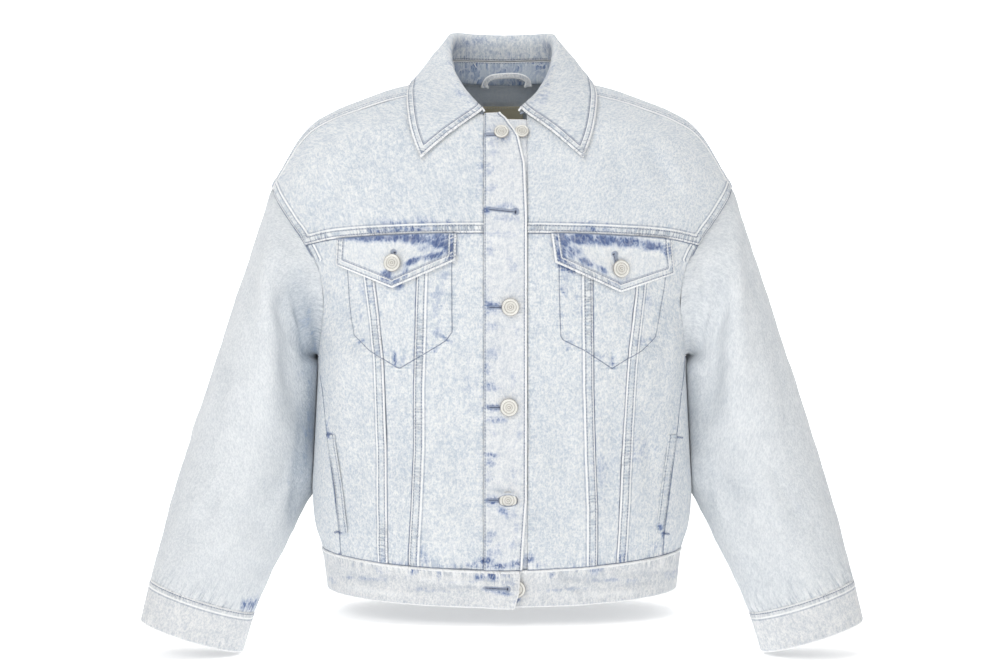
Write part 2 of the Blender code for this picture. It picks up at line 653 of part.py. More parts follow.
def waistband_front(side):
    """From the front end, past the centre, to the side; the ends are shifted where they lap."""
    rows = np.linspace(ROW["front hem"], ROW["front band"], BAND_RINGS)
    quarter = side * math.pi / 2
    if side < 0:
        start = column_at(table_x(LAP_EDGE), 1)
    else:
        start = column_at(upright(-UNDERLAP_X), 1)
    sheet = sheet_on_torso(rows, between(start, lambda row: quarter, BAND_FRONT_COLUMNS))
    sheet.normals[:, -1] = [side, 0, 0]
    from_centre = side * sheet.points[:, :, 0]
    shift = -side * BAND_LAP * eased(from_centre, BAND_LAP_START, BAND_LAP_END)
    if side < 0:
        shift += np.array(BAND_LIFT)[:, None] * eased(sheet.points[:, :, 0], *BAND_LIFT_X)
    sheet.points += sheet.normals * shift[:, :, None]
    sheet.inset(SEAM_GAP / 2)
    make_wall(f"waistband_{side_name(side)}", "denim_faded", sheet, -BAND_CLOTH / 2, BAND_CLOTH / 2)


def waistband_back():
    """Round the back from side to side."""
    rows = np.linspace(ROW["back hem"], ROW["back band"], BAND_RINGS)
    columns = between(lambda row: -math.pi / 2, lambda row: math.pi / 2, BAND_BACK_COLUMNS)
    sheet = sheet_on_torso(rows, columns)
    sheet.normals[:, 0], sheet.normals[:, -1] = [-1, 0, 0], [1, 0, 0]
    make_wall("waistband_back", "denim_faded", sheet.inset(SEAM_GAP / 2), -BAND_CLOTH / 2, BAND_CLOTH / 2)


# ---------------------------------------------------------------- sleeves and cuffs


def armhole_side(rows):
    """Points, normals and rough outward ways along the left armhole on these rings."""
    angles = [armhole(row) for row in rows]
    points = [torso(angle, row) for angle, row in zip(angles, rows)]
    normals = [torso_normal(angle, row) for angle, row in zip(angles, rows)]
    ways = [torso(angle, row) - torso(angle - SMALL_TURN, row) for angle, row in zip(angles, rows)]
    return points, normals, ways


def armhole_loop():
    """Points, normals and outward ways round the left armhole, from the shoulder seam down and up."""
    front = armhole_side([row for row in YOKE_ROWS[::-1] if row != RIDGE_ROW] + ARM_ROWS[::-1][1:])
    under_points, under_normals = gusset_line(GUSSET_HEIGHTS[0], 1)
    back = armhole_side(BACK_ARM_ROWS[::-1] + BACK_YOKE_ROWS[::-1][1:-1])
    points = np.array(front[0] + under_points[1:-1] + back[0])
    normals = np.array(front[1] + under_normals[1:-1] + back[1])
    ways = front[2] + [np.array([0, 0, 1.0])] * len(under_points[1:-1]) + back[2]
    tangents = np.roll(points, -1, axis=0) - np.roll(points, 1, axis=0)
    outward = np.cross(normals, tangents)
    outward /= np.linalg.norm(outward, axis=1, keepdims=True)
    flip = np.sign((outward * np.array(ways)).sum(axis=1, keepdims=True))
    return points, normals, outward * flip


def ring_angles(points):
    """Each loop point's angle round the sleeve: nought at the top, half a turn under the arm."""
    lengths = np.linalg.norm(np.roll(points, -1, axis=0) - points, axis=1)
    along = np.concatenate([[0], np.cumsum(lengths)])
    top = int(np.argmax(points[:, 2]))
    under_arm = points[:, 2] < GUSSET_HEIGHTS[0] + SMALL_STEP
    bottom = int(np.argmin(np.where(under_arm, np.abs(points[:, 1]), np.inf)))
    total = along[-1]
    down = (along[bottom] - along[top]) % total
    walked = (along[:-1] - along[top]) % total
    return np.interp(walked, [0, down, total], [0, math.pi, 2 * math.pi])


def sleeve_ring(name, angles):
    """Points of one of the sleeve's rings, at angles from its outer side round the front."""
    ring = SleeveRing(*SLEEVE[name])
    middle = np.array([(ring.inner_x + ring.outer_x) / 2, ring.centre_y, (ring.inner_z + ring.outer_z) / 2])
    wide = np.array([(ring.outer_x - ring.inner_x) / 2, 0, (ring.outer_z - ring.inner_z) / 2])
    deep = np.array([0, -ring.half_depth, 0])
    return middle + np.cos(angles)[:, None] * wide + np.sin(angles)[:, None] * deep


def clear_of_body(point):
    """The point, moved straight out where it would touch the body below the armpit."""
    x, y, z = point
    if z > GUSSET_HEIGHTS[0] or z < GUSSET_HEIGHTS[-1]:
        return point
    ring = torso_ring(ring_at_height(z, y > 0))
    apart = SLEEVE_CLEARANCE * (2 * min((GUSSET_HEIGHTS[0] - z) / ARMPIT_REACH, 1) - 1)
    wide, deep = ring.half_width + apart, abs(ring.depth) + apart
    across, back = (abs(x) / wide) ** ring.roundness, (abs(y) / deep) ** ring.roundness
    if across + back >= 1:
        return point
    return np.array([wide * (1 - back) ** (1 / ring.roundness), y, z])


def sleeve_fold(place, angle):
    """How deep the sleeve's cloth sinks at a ring and an angle."""
    depth = 0.0
    for fold in (SleeveFold(*row) for row in SLEEVE_FOLDS):
        share = (place - fold.start) / (fold.end - fold.start)
        if 0 < share < 1:
            middle = fold.start_angle + (fold.end_angle - fold.start_angle) * share
            off = (math.degrees(angle) - middle) / fold.half_width
            if abs(off) < 1:
                along = math.sin(math.pi * share) ** SLEEVE_FOLD_FULLNESS
                depth += fold.depth * along * (1 + math.cos(math.pi * off)) / 2
    return depth


def sleeve_surface(places):
    """Rows of points down the left sleeve from the armhole to the cuff seam, and the first normals."""
    loop, normals, outward = armhole_loop()
    angles = ring_angles(loop)
    rings = [sleeve_ring(name, angles) for name in list(SLEEVE)[:-1]]
    knots = np.arange(len(rings) + 1)
    lines = []
    for i in range(len(loop)):
        points = np.array([loop[i]] + [ring[i] for ring in rings])
        slope = slopes(knots, points)
        first = points[1] - points[0]
        length = np.linalg.norm(first)
        along = max(float(first @ outward[i]) / length, 0)
        slope[0] = first * (1 - along) + outward[i] * (length * along * SLEEVE_START + PEAK * (1 - along))
        lines.append([smooth(knots, points, slope, place) for place in places])
    rows = np.array(lines).transpose(1, 0, 2)
    sink = [[sleeve_fold(place, angle) for angle in angles] for place in places]
    rows -= tube_normals(rows) * np.array(sink)[:, :, None]
    rows[0] += outward * SLEEVE_GAP
    for row in rows[SLEEVE_FREE_ROW:]:
        row[:] = [clear_of_body(point) for point in row]
    return rows, normals


def tube_normals(rows):
    """Outward directions of a tube's points, row by row."""
    round_it = np.roll(rows, -1, axis=1) - np.roll(rows, 1, axis=1)
    down = np.gradient(rows, axis=0)
    normals = np.cross(down, round_it)
    normals /= np.linalg.norm(normals, axis=2, keepdims=True)
    middle = rows.mean(axis=1, keepdims=True)
    away = (normals * (rows - middle)).sum(axis=2).mean()
    return normals if away > 0 else -normals


def closed_sheet(rows, normals, side):
    """A tube's rows as a sheet whose last column is its first, on one side of the body."""
    rows = np.concatenate([rows, rows[:, :1]], axis=1)
    normals = np.concatenate([normals, normals[:, :1]], axis=1)
    return Sheet(rows * [side, 1, 1], normals * [side, 1, 1])


def sleeve_and_cuff(side):
    """One sleeve from the armhole to the cuff seam, and the plain cuff below it."""
    rows, first = sleeve_surface(SLEEVE_PLACES)
    normals = tube_normals(rows)
    for row, share in enumerate(SLEEVE_TURN):
        normals[row] = first * share + normals[row] * (1 - share)
    normals /= np.linalg.norm(normals, axis=2, keepdims=True)
    sheet = closed_sheet(rows, normals, side)
    make_wall(f"sleeve_{side_name(side)}", "denim", sheet.inset(SEAM_GAP / 2, "t"), -CLOTH / 2, CLOTH / 2)
    angles = ring_angles(rows[0])
    cuff = np.array([sleeve_ring("cuff seam", angles), sleeve_ring("cuff end", angles)])
    sheet = closed_sheet(cuff, tube_normals(cuff), side)
    make_wall(f"cuff_{side_name(side)}", "denim_faded", sheet.inset(SEAM_GAP / 2, "b"),
              -BAND_CLOTH / 2, BAND_CLOTH / 2)


# ---------------------------------------------------------------- collar


def neckline():
    """Points, normals and ways into the hole along half of the neckline, from centre back to front."""
    spots = BACK_NECK[::-1] + FRONT_NECK[::-1][1:]
    points = np.array([torso(angle, row) for angle, row in spots])
    normals = np.array([torso_normal(angle, row) for angle, row in spots])
    tangents = np.gradient(points, axis=0)
    inward = np.cross(normals, tangents)
    inward /= np.linalg.norm(inward, axis=1, keepdims=True)
    over_neck = np.array([0, (NECK_FRONT_Y + NECK_BACK_Y) / 2, points[:, 2].max() * 2])
    inward *= np.sign((inward * (over_neck - points)).sum(axis=1, keepdims=True))
    normals[0, 0] = inward[0, 0] = points[0, 0] = 0
    return points, normals, inward


def over_body(x, y, lift):
    """The point that stands this high above the body's cloth at a plan position."""
    spot = spot_under(x, y, ROW["front yoke"], ROW["back yoke"])
    return torso(*spot) + torso_normal(*spot) * lift


def clear_over_body(point):
    """The point, raised where the leaf would touch the body below it."""
    x, y, _ = point
    below = over_body(x, y, 0)
    up = over_body(x, y, 1) - below
    return point + up * max(COLLAR_LIFT - float((point - below) @ up), 0)


def collar_section(along):
    """The stand's top, roll line, outer edge and bulge at a share of the way from back to front."""
    sections = [CollarSection(*row) for row in COLLAR]
    rows = [[*s.stand, *s.roll, *over_body(*s.edge_plan_and_lift), s.bulge] for s in sections]
    values = curve_through([s.along for s in sections], rows)(along)
    return values[0:3], values[3:6], values[6:9], values[9]


def collar_profile(start, inward, along):
    """A smooth line from the neckline up the stand, over the roll and down the leaf, as a function."""
    stand, roll, edge, bulge = collar_section(along)
    away = edge - roll
    away = np.array([away[0], away[1], 0]) / np.linalg.norm(away[:2])
    up = np.array([0, 0, 1.0])
    drop = min(ROLL_DROP, ROLL_DROP_SHARE * np.linalg.norm(roll - stand))
    inner = roll - away * min(ROLL_RADIUS, drop) - up * drop
    outer = roll + away * ROLL_RADIUS - up * drop
    middle = (outer + edge) / 2 + (away + up) * bulge / math.sqrt(2)
    points = np.array([start, stand, inner, roll, outer, middle, edge])
    knots = np.concatenate([[0], np.cumsum(np.linalg.norm(np.diff(points, axis=0), axis=1))])
    slope = slopes(knots, points)
    slope[0] = inward * min(COLLAR_START / knots[1], 1)
    return knots, lambda at: smooth(knots, points, slope, at)


def collar_half(pick):
    """Rows of points across half of the collar, and the ways along each line from row to row."""
    starts, _, inward = neckline()
    length = np.concatenate([[0], np.cumsum(np.linalg.norm(np.diff(starts, axis=0), axis=1))])
    lines, ways = [], []
    for start, way, walked in zip(starts, inward, length):
        knots, profile = collar_profile(start + way * COLLAR_GAP, way, walked / length[-1])
        places = pick(knots)
        lines.append([profile(at) for at in places])
        ways.append([profile(at + COLLAR_STEP) - profile(at - COLLAR_STEP) for at in places])
    return np.array(lines).transpose(1, 0, 2), np.array(ways).transpose(1, 0, 2)


def both_halves(half):
    """Half of the collar's points or directions with their mirror image before them."""
    return np.concatenate([half[:, :0:-1] * [-1, 1, 1], half], axis=1)


def collar():
    """The stand, and the leaf that rolls over it."""

    def places(knots):
        _, top, inner, roll, outer, _, edge = knots
        stand = [top * share for share in STAND_SHARES]
        over = [(top + inner) / 2, inner, (inner + roll) / 2, roll, (roll + outer) / 2]
        return [*stand, *over, *np.linspace(outer, edge, LEAF_POINTS)]

    rows, ways = collar_half(places)
    for row in rows[LEAF_ROW:]:
        row[:] = [clear_over_body(point) for point in row]
    rows, ways = both_halves(rows), both_halves(ways)
    normals = np.cross(ways, np.gradient(rows, axis=1))
    normals /= np.linalg.norm(normals, axis=2, keepdims=True)
    first = both_halves(neckline()[1][None])[0]
    if (normals[0] * first).sum() < 0:
        normals = -normals
    normals[0] = first
    normals[1] = (first + normals[1]) / np.linalg.norm(first + normals[1], axis=1, keepdims=True)
    top = len(STAND_SHARES)
    stand = Sheet(rows[:top], normals[:top]).inset(COLLAR_SEAM_GAP, "t")
    make_wall("collar_stand", "denim_blue", stand, -COLLAR_CLOTH / 2, COLLAR_CLOTH / 2)
    leaf = Sheet(rows[top - 1 :], normals[top - 1 :]).inset(COLLAR_SEAM_GAP, "b")
    make_wall("collar_leaf", "denim", leaf, -COLLAR_CLOTH / 2, COLLAR_CLOTH / 2)


# ---------------------------------------------------------------- pockets


def spot_on_front(x, z):
    """(angle, ring) of the point of the front that is seen at (x, z)."""
    return spot_seen(x, z, ROW["front hem"], ROW["front top"])


def front_patch(lines):
    """A sheet on the front from rows of (x, z) places."""
    return sheet_of_spots([[spot_on_front(x, z) for x, z in line] for line in lines])


def seam_height(x):
    """The height of the yoke seam at a distance x from the centre."""
    return torso(angle_across(x, ROW["front yoke"]), ROW["front yoke"])[2]


def pointed_lines(top_x, corners, rows, side, top_gap):
    """Rows of (x, z) from the yoke seam down to an outline with one point, column by column."""
    inner_top, outer_top = top_x
    (inner_x, _), (tip_x, _), (outer_x, _) = corners
    bottom_z = [corner[1] for corner in corners]
    lines = []
    for down in np.linspace(1, 0, rows):
        line = []
        for share in np.linspace(0, 1, POINT_COLUMNS):
            high_x = inner_top + (outer_top - inner_top) * share
            high_z = seam_height(high_x) - top_gap
            low_x = np.interp(share, [0, 0.5, 1], [inner_x, tip_x, outer_x])
            low_z = np.interp(share, [0, 0.5, 1], bottom_z)
            line.append((side * (high_x + (low_x - high_x) * down), high_z + (low_z - high_z) * down))
        lines.append(line)
    return lines


def pocket_flap(side):
    """The pointed flap under the yoke seam, standing off the chest a little at its point."""
    lines = pointed_lines(FLAP_TOP_X[side], FLAP_CORNERS[side], FLAP_ROWS, side, SEAM_GAP)
    sheet = front_patch(lines)
    down = np.linspace(1, 0, FLAP_ROWS)[:, None] * np.ones((1, POINT_COLUMNS))
    away = FLAP_LIFT + FLAP_SPRING * down**FLAP_CURVE
    make_wall(f"pocket_flap_{side_name(side)}", "denim_blue", sheet, away, away + FLAP_CLOTH)


def pocket_bag(side):
    """The pocket's bag, sewn to the inside of the chest below the yoke seam."""
    lines = pointed_lines(BAG_TOP_X[side], BAG_CORNERS[side], BAG_ROWS, side, BAG_TOP_GAP)
    sheet = front_patch(lines)
    make_wall(f"pocket_bag_{side_name(side)}", "pocketing", sheet, -BAG_DEPTH - BAG_CLOTH, -BAG_DEPTH)


def pocket_welt(side):
    """The narrow welt along the hand pocket's opening, beside the side seam."""
    edge = table_x(SIDE_SEAM)
    across = WELT_SEAM + np.array([0, 0.5, 1]) * WELT_WIDTH
    heights = np.linspace(WELT_BOTTOM, WELT_TOP, WELT_ROWS)
    sheet = front_patch([[(side * (edge(z) - d), z) for d in across] for z in heights])
    make_wall(f"pocket_welt_{side_name(side)}", "denim", sheet, WELT_LIFT, WELT_LIFT + WELT_CLOTH)


# ---------------------------------------------------------------- buttons, loop and label


def button(name):
    """A turned shank button, standing on the cloth below it."""
    sewn = Button(*BUTTONS[name])
    spot = spot_on_front(sewn.x, sewn.z)
    normal = torso_normal(*spot)
    data = bpy.data.meshes.new(name)
    section = [(r * sewn.radius * MM, 0, h * sewn.radius * MM) for r, h in BUTTON_SECTION]
    data.from_pydata(section, [(i, i + 1) for i in range(len(section) - 1)], [])
    thing = place(name, data, "button_metal")
    screw = thing.modifiers.new("Turn", "SCREW")
    screw.steps = screw.render_steps = BUTTON_SIDES
    screw.use_merge_vertices = True
    screw.merge_threshold = MERGE
    facing = Vector(normal).to_track_quat("Z", "Y").to_matrix().to_4x4()
    thing.matrix_world = Matrix.Translation(Vector(torso(*spot) + normal * sewn.base) * MM) @ facing
    return thing


def hang_loop():
    """A narrow strip whose ends are caught in the neck seam, arching up in front of the stand."""
    route = curve_through(range(len(LOOP_ROUTE)), LOOP_ROUTE)
    points = np.array([route(at) for at in np.linspace(0, len(LOOP_ROUTE) - 1, LOOP_POINTS)])
    ahead = np.gradient(points, axis=0)
    ahead /= np.linalg.norm(ahead, axis=1, keepdims=True)
    across = np.cross(ahead, [0, -1.0, 0])
    across /= np.linalg.norm(across, axis=1, keepdims=True)
    face = np.cross(across, ahead)
    rows = np.array([points + across * d for d in (-LOOP_WIDTH / 2, 0, LOOP_WIDTH / 2)])
    sheet = Sheet(rows, np.repeat(face[None], 3, axis=0))
    make_wall("hang_loop", "denim_faded", sheet, -LOOP_CLOTH / 2, LOOP_CLOTH / 2)


def neck_label():
    """A bare rectangle sewn inside the back yoke."""
    heights = np.linspace(LABEL_Z[1], LABEL_Z[0], LABEL_ROWS)
    across = np.linspace(*LABEL_X, LABEL_COLUMNS)
    spots = [[spot_seen(x, z, ROW["back yoke"], ROW["back neck"]) for x in across] for z in heights]
    sheet = sheet_of_spots(spots)
    inner = -CLOTH / 2 - LABEL_DEPTH
    make_wall("neck_label", "label", sheet, inner - LABEL_CLOTH, inner)


# ---------------------------------------------------------------- the whole jacket


def make_materials():
    for name, (colour, roughness, metallic) in MATERIALS.items():
        material = bpy.data.materials.new(name)
        material.use_nodes = True
        shader = material.node_tree.nodes["Principled BSDF"]
        shader.inputs["Base Color"].default_value = (*colour, 1)
        shader.inputs["Roughness"].default_value = roughness
        shader.inputs["Metallic"].default_value = metallic


def build():
    for thing in list(bpy.data.objects):
        bpy.data.objects.remove(thing)
    collection = bpy.data.collections.new("denim_jacket")
    bpy.context.scene.collection.children.link(collection)
    make_materials()
    for side in (-1, 1):
        front_yoke(side)
        front_centre(side)
        front_dart(side)
        front_side(side)
        side_panel(side)
        waistband_front(side)
        sleeve_and_cuff(side)
        pocket_flap(side)
        pocket_bag(side)
        pocket_welt(side)
    back_yoke()
    back_panel()
    waistband_back()
    plackets()
    collar()
    hang_loop()
    neck_label()
    for name in BUTTONS:
        button(name)


build()
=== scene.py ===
"""The looks of the denim jacket: fine cloth on the frame's surfaces, with its seams, stitches, wash and trim.

The frame comes first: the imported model, whose nodes the pieces made here stand for.
Lengths are in millimetres where a comment doesn't say metres, and meshes are made from them in metres.
The front faces -Y, +X is the wearer's left and +Z is up, as in the part's source.
"""

import math
from collections import namedtuple

import bpy
import numpy as np
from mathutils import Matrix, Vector


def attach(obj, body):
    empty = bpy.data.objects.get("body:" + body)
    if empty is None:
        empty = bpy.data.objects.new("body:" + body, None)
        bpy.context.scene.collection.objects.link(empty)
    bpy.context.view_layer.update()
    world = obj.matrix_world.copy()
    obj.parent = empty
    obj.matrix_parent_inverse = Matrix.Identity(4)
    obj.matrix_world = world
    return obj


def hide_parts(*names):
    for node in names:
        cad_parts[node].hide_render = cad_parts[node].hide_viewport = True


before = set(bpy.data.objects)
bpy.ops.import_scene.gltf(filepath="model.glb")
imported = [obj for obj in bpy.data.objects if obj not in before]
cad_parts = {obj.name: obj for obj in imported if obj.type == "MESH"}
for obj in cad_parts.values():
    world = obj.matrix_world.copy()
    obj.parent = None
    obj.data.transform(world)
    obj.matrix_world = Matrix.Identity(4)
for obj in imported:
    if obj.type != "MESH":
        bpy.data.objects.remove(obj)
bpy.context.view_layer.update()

MM = 0.001

# ---------------------------------------------------------------- the jacket's surfaces, as in its source

CLOTH = 1.5
BAND_CLOTH = 2.8
PLACKET_CLOTH = 2.4
COLLAR_CLOTH = 2.2
SEAM_GAP = 0.6
COLLAR_SEAM_GAP = 0.7
LAP_GAP = 0.7

Ring = namedtuple("Ring", "centre_z edge_z half_width depth roundness edge_x shoulder")
TORSO = {
    "front hem": (-565, -557, 193, -127, 2.4, 193, 0),
    "front band": (-525, -512, 199, -131, 2.4, 199, 0),
    "front blouse": (-497, -489, 206.5, -137, 2.35, 206.5, 0),
    "front low": (-452, -448, 210.5, -139, 2.35, 210.5, 0),
    "front waist": (-400, -400, 208.5, -138, 2.3, 208.5, 0),
    "front rib": (-350, -350, 206, -137, 2.3, 205.5, 0),
    "front armpit": (-300, -300, 205, -136, 2.3, 202, 0),
    "front bust": (-238, -242, 214, -134, 2.3, 194.5, 0.5),
    "front flap": (-203, -208, 224, -131.5, 2.3, 198, 0.8),
    "front yoke": (-169, -179, 234, -128, 2.3, 212, 1),
    "front chest": (-120, -156, 246, -119, 2.3, 228.5, 1),
    "front bone": (-78, -139, 255, -105, 2.3, 240.5, 1),
    "front neck": (-42, -126, 261, -86, 2.3, 248.5, 1),
    "front top": (-8, -117, 264, -47, 2.3, 253, 1),
    "ridge": (10, -112, 265, 0, 2.3, 255.5, 1),
    "back top": (14, -115, 264, 40, 2.3, 252, 1),
    "back neck": (11, -122, 261, 68, 2.3, 247, 1),
    "back nape": (-23, -135, 256, 97, 2.3, 239, 1),
    "back blade": (-80, -152, 248, 116, 2.3, 228, 1),
    "back yoke": (-150, -179, 236, 127, 2.3, 210, 1),
    "back flap": (-195, -208, 225, 130, 2.3, 199, 0.8),
    "back bust": (-238, -242, 214, 131, 2.3, 195.5, 0.5),
    "back armpit": (-300, -300, 205, 130, 2.3, 202, 0),
    "back rib": (-350, -350, 206, 128, 2.3, 205.5, 0),
    "back waist": (-400, -400, 208.5, 126, 2.3, 208.5, 0),
    "back low": (-452, -448, 210.5, 127, 2.35, 210.5, 0),
    "back blouse": (-497, -489, 206.5, 125, 2.35, 206.5, 0),
    "back band": (-525, -512, 199, 120, 2.4, 199, 0),
    "back hem": (-565, -557, 193, 115, 2.4, 193, 0),
}
SHOULDER_ALONG = (0, 0.3, 0.453, 0.618, 0.748, 0.835, 0.894, 0.925, 0.953, 0.984, 1)
SHOULDER_DROP = (0, 0.035, 0.088, 0.202, 0.314, 0.43, 0.58, 0.69, 0.8, 0.916, 1)

NECK_HALF_WIDTH = 74
NECK_FRONT_Y = -86
NECK_BACK_Y = 68
NECK_FRONT_ANGLE = 15.7
NECK_SHOULDER_ANGLE = 61.5
NECK_POINTS, NECK_MARGIN = 240, 10
EDGE_POINTS = 300

PLACKET_X = {-1: 19, 1: 27}
INNER_SEAM = {
    -1: ((-150, 88), (-218, 89.7), (-335, 92.8), (-394, 92.5), (-460, 95.2), (-512, 98.5)),
    1: ((-150, 95), (-229, 95.8), (-335, 96.5), (-411, 98.4), (-459, 100.5), (-516, 100.6)),
}
OUTER_SEAM = {
    -1: ((-150, 144), (-218, 135.5), (-260, 130), (-302, 125.7), (-394, 121.9), (-512, 121)),
    1: ((-150, 149), (-236, 141.7), (-291, 135), (-335, 132), (-411, 127), (-515, 122)),
}
SIDE_SEAM = ((-300, 202), (-320, 200), (-338, 196), (-385, 189.5), (-440, 181), (-487, 174.5),
             (-525, 172.5))
BACK_SIDE_SEAM = ((-300, 202), (-340, 195), (-400, 187), (-460, 181), (-525, 173))
LAP_EDGE = ((-40, -3), (-45, 2.7), (-52, 7.5), (-58, 12), (-65, 16), (-79, 19), (-95, 22.4), (-150, 24.6),
            (-450, 24.3), (-504, 20.5), (-526, 19.4), (-548, 18), (-566, 12.7))
UNDERLAP_X = 17
UNDERLAP_DROP = 7
BAND_LAP = 1.7
BAND_LAP_START, BAND_LAP_END = 75, 26
BAND_LIFT = (5.6, 5.7, 5.5, 0.9)
BAND_LIFT_X = (-26, 4)

SleeveRing = namedtuple("SleeveRing", "inner_x inner_z outer_x outer_z half_depth centre_y")
SLEEVE = {
    "cap": (211, -304, 269, -152, 78, 2),
    "upper": (213, -320, 284, -196, 83, 5),
    "biceps": (214, -342, 301, -246, 84, 8),
    "above elbow": (214, -370, 318.5, -300, 82, 9),
    "elbow": (214, -408, 336.5, -355, 78, 8),
    "below elbow": (215, -451, 353, -408, 72, 5),
    "forearm": (234, -494, 368.5, -460, 64, 1),
    "wrist": (256, -539, 380.5, -507, 54, -4),
    "cuff seam": (277, -585, 390.5, -548, 45, -8),
    "cuff end": (290, -629, 401, -594, 43, -10),
}
SLEEVE_CLEARANCE = 2.1
ARMPIT_REACH = 16
PEAK = 20.0
SLEEVE_START = 0.6
SLEEVE_GAP = 0.4
SleeveFold = namedtuple("SleeveFold", "start end start_angle end_angle half_width depth")
SLEEVE_FOLDS = (
    (0.9, 5.2, 118, 150, 30, 8),
    (1.2, 4.6, 78, 104, 26, -4),
    (4.6, 7.6, 132, 112, 28, 6),
    (0.8, 4.4, 232, 214, 32, 7),
    (5.0, 8.2, 246, 262, 30, 4),
)
SLEEVE_FOLD_FULLNESS = 0.7

CollarSection = namedtuple("CollarSection", "along stand roll edge_plan_and_lift bulge")
COLLAR = (
    (0.00, (0, 65, 38), (0, 64, 68.5), (0, 88, 7), 5),
    (0.18, (33, 58, 38), (31, 59, 68.5), (46, 85, 6), 5),
    (0.36, (57, 38, 35), (52, 43, 67), (80, 60, 5), 4),
    (0.50, (67, 12, 27), (60, 16, 58), (97, 18, 4), 2),
    (0.62, (67, -13, 14), (60, -8, 38), (102, -22, 3.4), 1),
    (0.74, (61, -40, -3), (53.5, -36, 14), (103, -55, 4), 2),
    (0.87, (43, -68, -22), (39.5, -68, -13), (97, -89, 4.3), 3),
    (1.00, (19.5, -81.5, -35.5), (20.5, -87, -33), (86, -104.5, 4.3), 1),
)
ROLL_RADIUS = 3.2
ROLL_DROP = 4.2
ROLL_DROP_SHARE = 0.4
COLLAR_START = 10.0
COLLAR_GAP = 0.5
COLLAR_LIFT = 4.3

FLAP_TOP_X = {-1: (48, 174.5), 1: (52, 180)}
FLAP_CORNERS = {
    -1: ((48.6, -198.7), (114.5, -227), (174.5, -201.6)),
    1: ((56, -201), (124, -231.4), (181.4, -210.6)),
}
FLAP_CLOTH = 2.2
FLAP_LIFT = 2.4
FLAP_SPRING = 2.4
FLAP_CURVE = 1.5
BAG_TOP_X = {-1: (55, 166), 1: (60, 172)}
BAG_CORNERS = {
    -1: ((55, -283), (113, -311), (160, -278)),
    1: ((62, -281), (117, -312), (167, -278)),
}
BAG_TOP_GAP = 3
BAG_CLOTH = 0.9
BAG_DEPTH = 1.5

WELT_TOP, WELT_BOTTOM = -385, -488
WELT_SEAM = 1
WELT_WIDTH = 9.0
WELT_CLOTH = 1.3
WELT_LIFT = 1.35

Button = namedtuple("Button", "x z radius base")
BUTTONS = {
    "button_collar": (-0.5, -62, 8.0, 3.1),
    "button_collar_under": (21.4, -60, 7.6, 0.3),
    "button_chest": (9, -248, 9.4, 3.1),
    "button_waist": (7.5, -353, 9.4, 3.1),
    "button_low": (6.5, -450, 9.4, 3.1),
    "button_band": (15.5, -544.5, 9.4, 0.1),
    "button_flap_right": (-113.4, -201, 9.4, 6.5),
    "button_flap_left": (123.4, -207, 9.4, 6.5),
}

LOOP_WIDTH, LOOP_CLOTH = 6.0, 2.2
LOOP_ROUTE = ((-20, 57, 7), (-19, 55, 13), (-12, 53.5, 18.5), (5, 53, 20.5), (20, 53.5, 20), (29, 55, 15.5),
              (30, 57, 8))
LABEL_X = (-24, 24)
LABEL_Z = (-9, -41)
LABEL_CLOTH = 0.8
LABEL_DEPTH = 3.2

SMALL_TURN = 0.01
SMALL_STEP = 1.0
HALVINGS = 34


def slopes(knots, values):
    """The slope at each knot of a smooth curve through the values."""
    step = np.diff(knots)[:, None]
    rise = np.diff(values, axis=0) / step
    inner = (rise[:-1] * step[1:] + rise[1:] * step[:-1]) / (step[1:] + step[:-1])
    return np.vstack([rise[:1], inner, rise[-1:]])


def smooth(knots, values, slope, at):
    """Values at places along the smooth curve through the values at the knots."""
    at = np.asarray(at, float)
    i = np.clip(np.searchsorted(knots, at) - 1, 0, len(knots) - 2)
    step = (knots[i + 1] - knots[i])[..., None]
    t = (at - knots[i])[..., None] / step
    a = values[i] * (1 + 2 * t) * (1 - t) ** 2 + slope[i] * step * t * (1 - t) ** 2
    return a + values[i + 1] * t * t * (3 - 2 * t) + slope[i + 1] * step * t * t * (t - 1)


def curve_through(knots, values):
    """A function that gives the smooth curve's values at any places."""
    knots = np.array(knots, float)
    values = np.array(values, float).reshape(len(knots), -1)
    slope = slopes(knots, values)
    return lambda at: smooth(knots, values, slope, at)


def table_x(table):
    """A function that gives the distance x of a seam at a height z, from its rows (z, x)."""
    rows = sorted(table)
    return lambda z: np.interp(z, [r[0] for r in rows], [r[1] for r in rows])


def torso_knots():
    """How far along the centre line each ring lies, in front of (negative) or behind the ridge."""
    centre = np.array([(row[3], row[0]) for row in TORSO.values()], float)
    along = np.concatenate([[0], np.cumsum(np.hypot(*np.diff(centre, axis=0).T))])
    return along - along[list(TORSO).index("ridge")]


KNOTS = torso_knots()
ROW = dict(zip(TORSO, KNOTS))
torso_values = curve_through(KNOTS, list(TORSO.values()))
shoulder_drop = curve_through(SHOULDER_ALONG, SHOULDER_DROP)


def torso_ring(row):
    """The rings at places along the body, on or between the named ones."""
    return Ring(*np.moveaxis(torso_values(row), -1, 0))


def torso(angle, row):
    """The middle of the body's cloth at angles round from the centre line, on rings."""
    angle, row = np.broadcast_arrays(np.asarray(angle, float), np.asarray(row, float))
    ring = torso_ring(row)
    across = np.minimum(np.abs(np.sin(angle)), 1.0)
    x = np.copysign(ring.half_width * across, angle)
    y = ring.depth * np.maximum(1 - across**ring.roundness, 0) ** (1 / ring.roundness)
    along = np.minimum(np.abs(x) / ring.edge_x, 1.0)
    drop = (1 - ring.shoulder) * along**2 + ring.shoulder * shoulder_drop(along)[..., 0]
    return np.stack([x, y, ring.centre_z + (ring.edge_z - ring.centre_z) * drop], axis=-1)


def unit(vectors):
    """The vectors at length one."""
    return vectors / np.linalg.norm(vectors, axis=-1, keepdims=True)


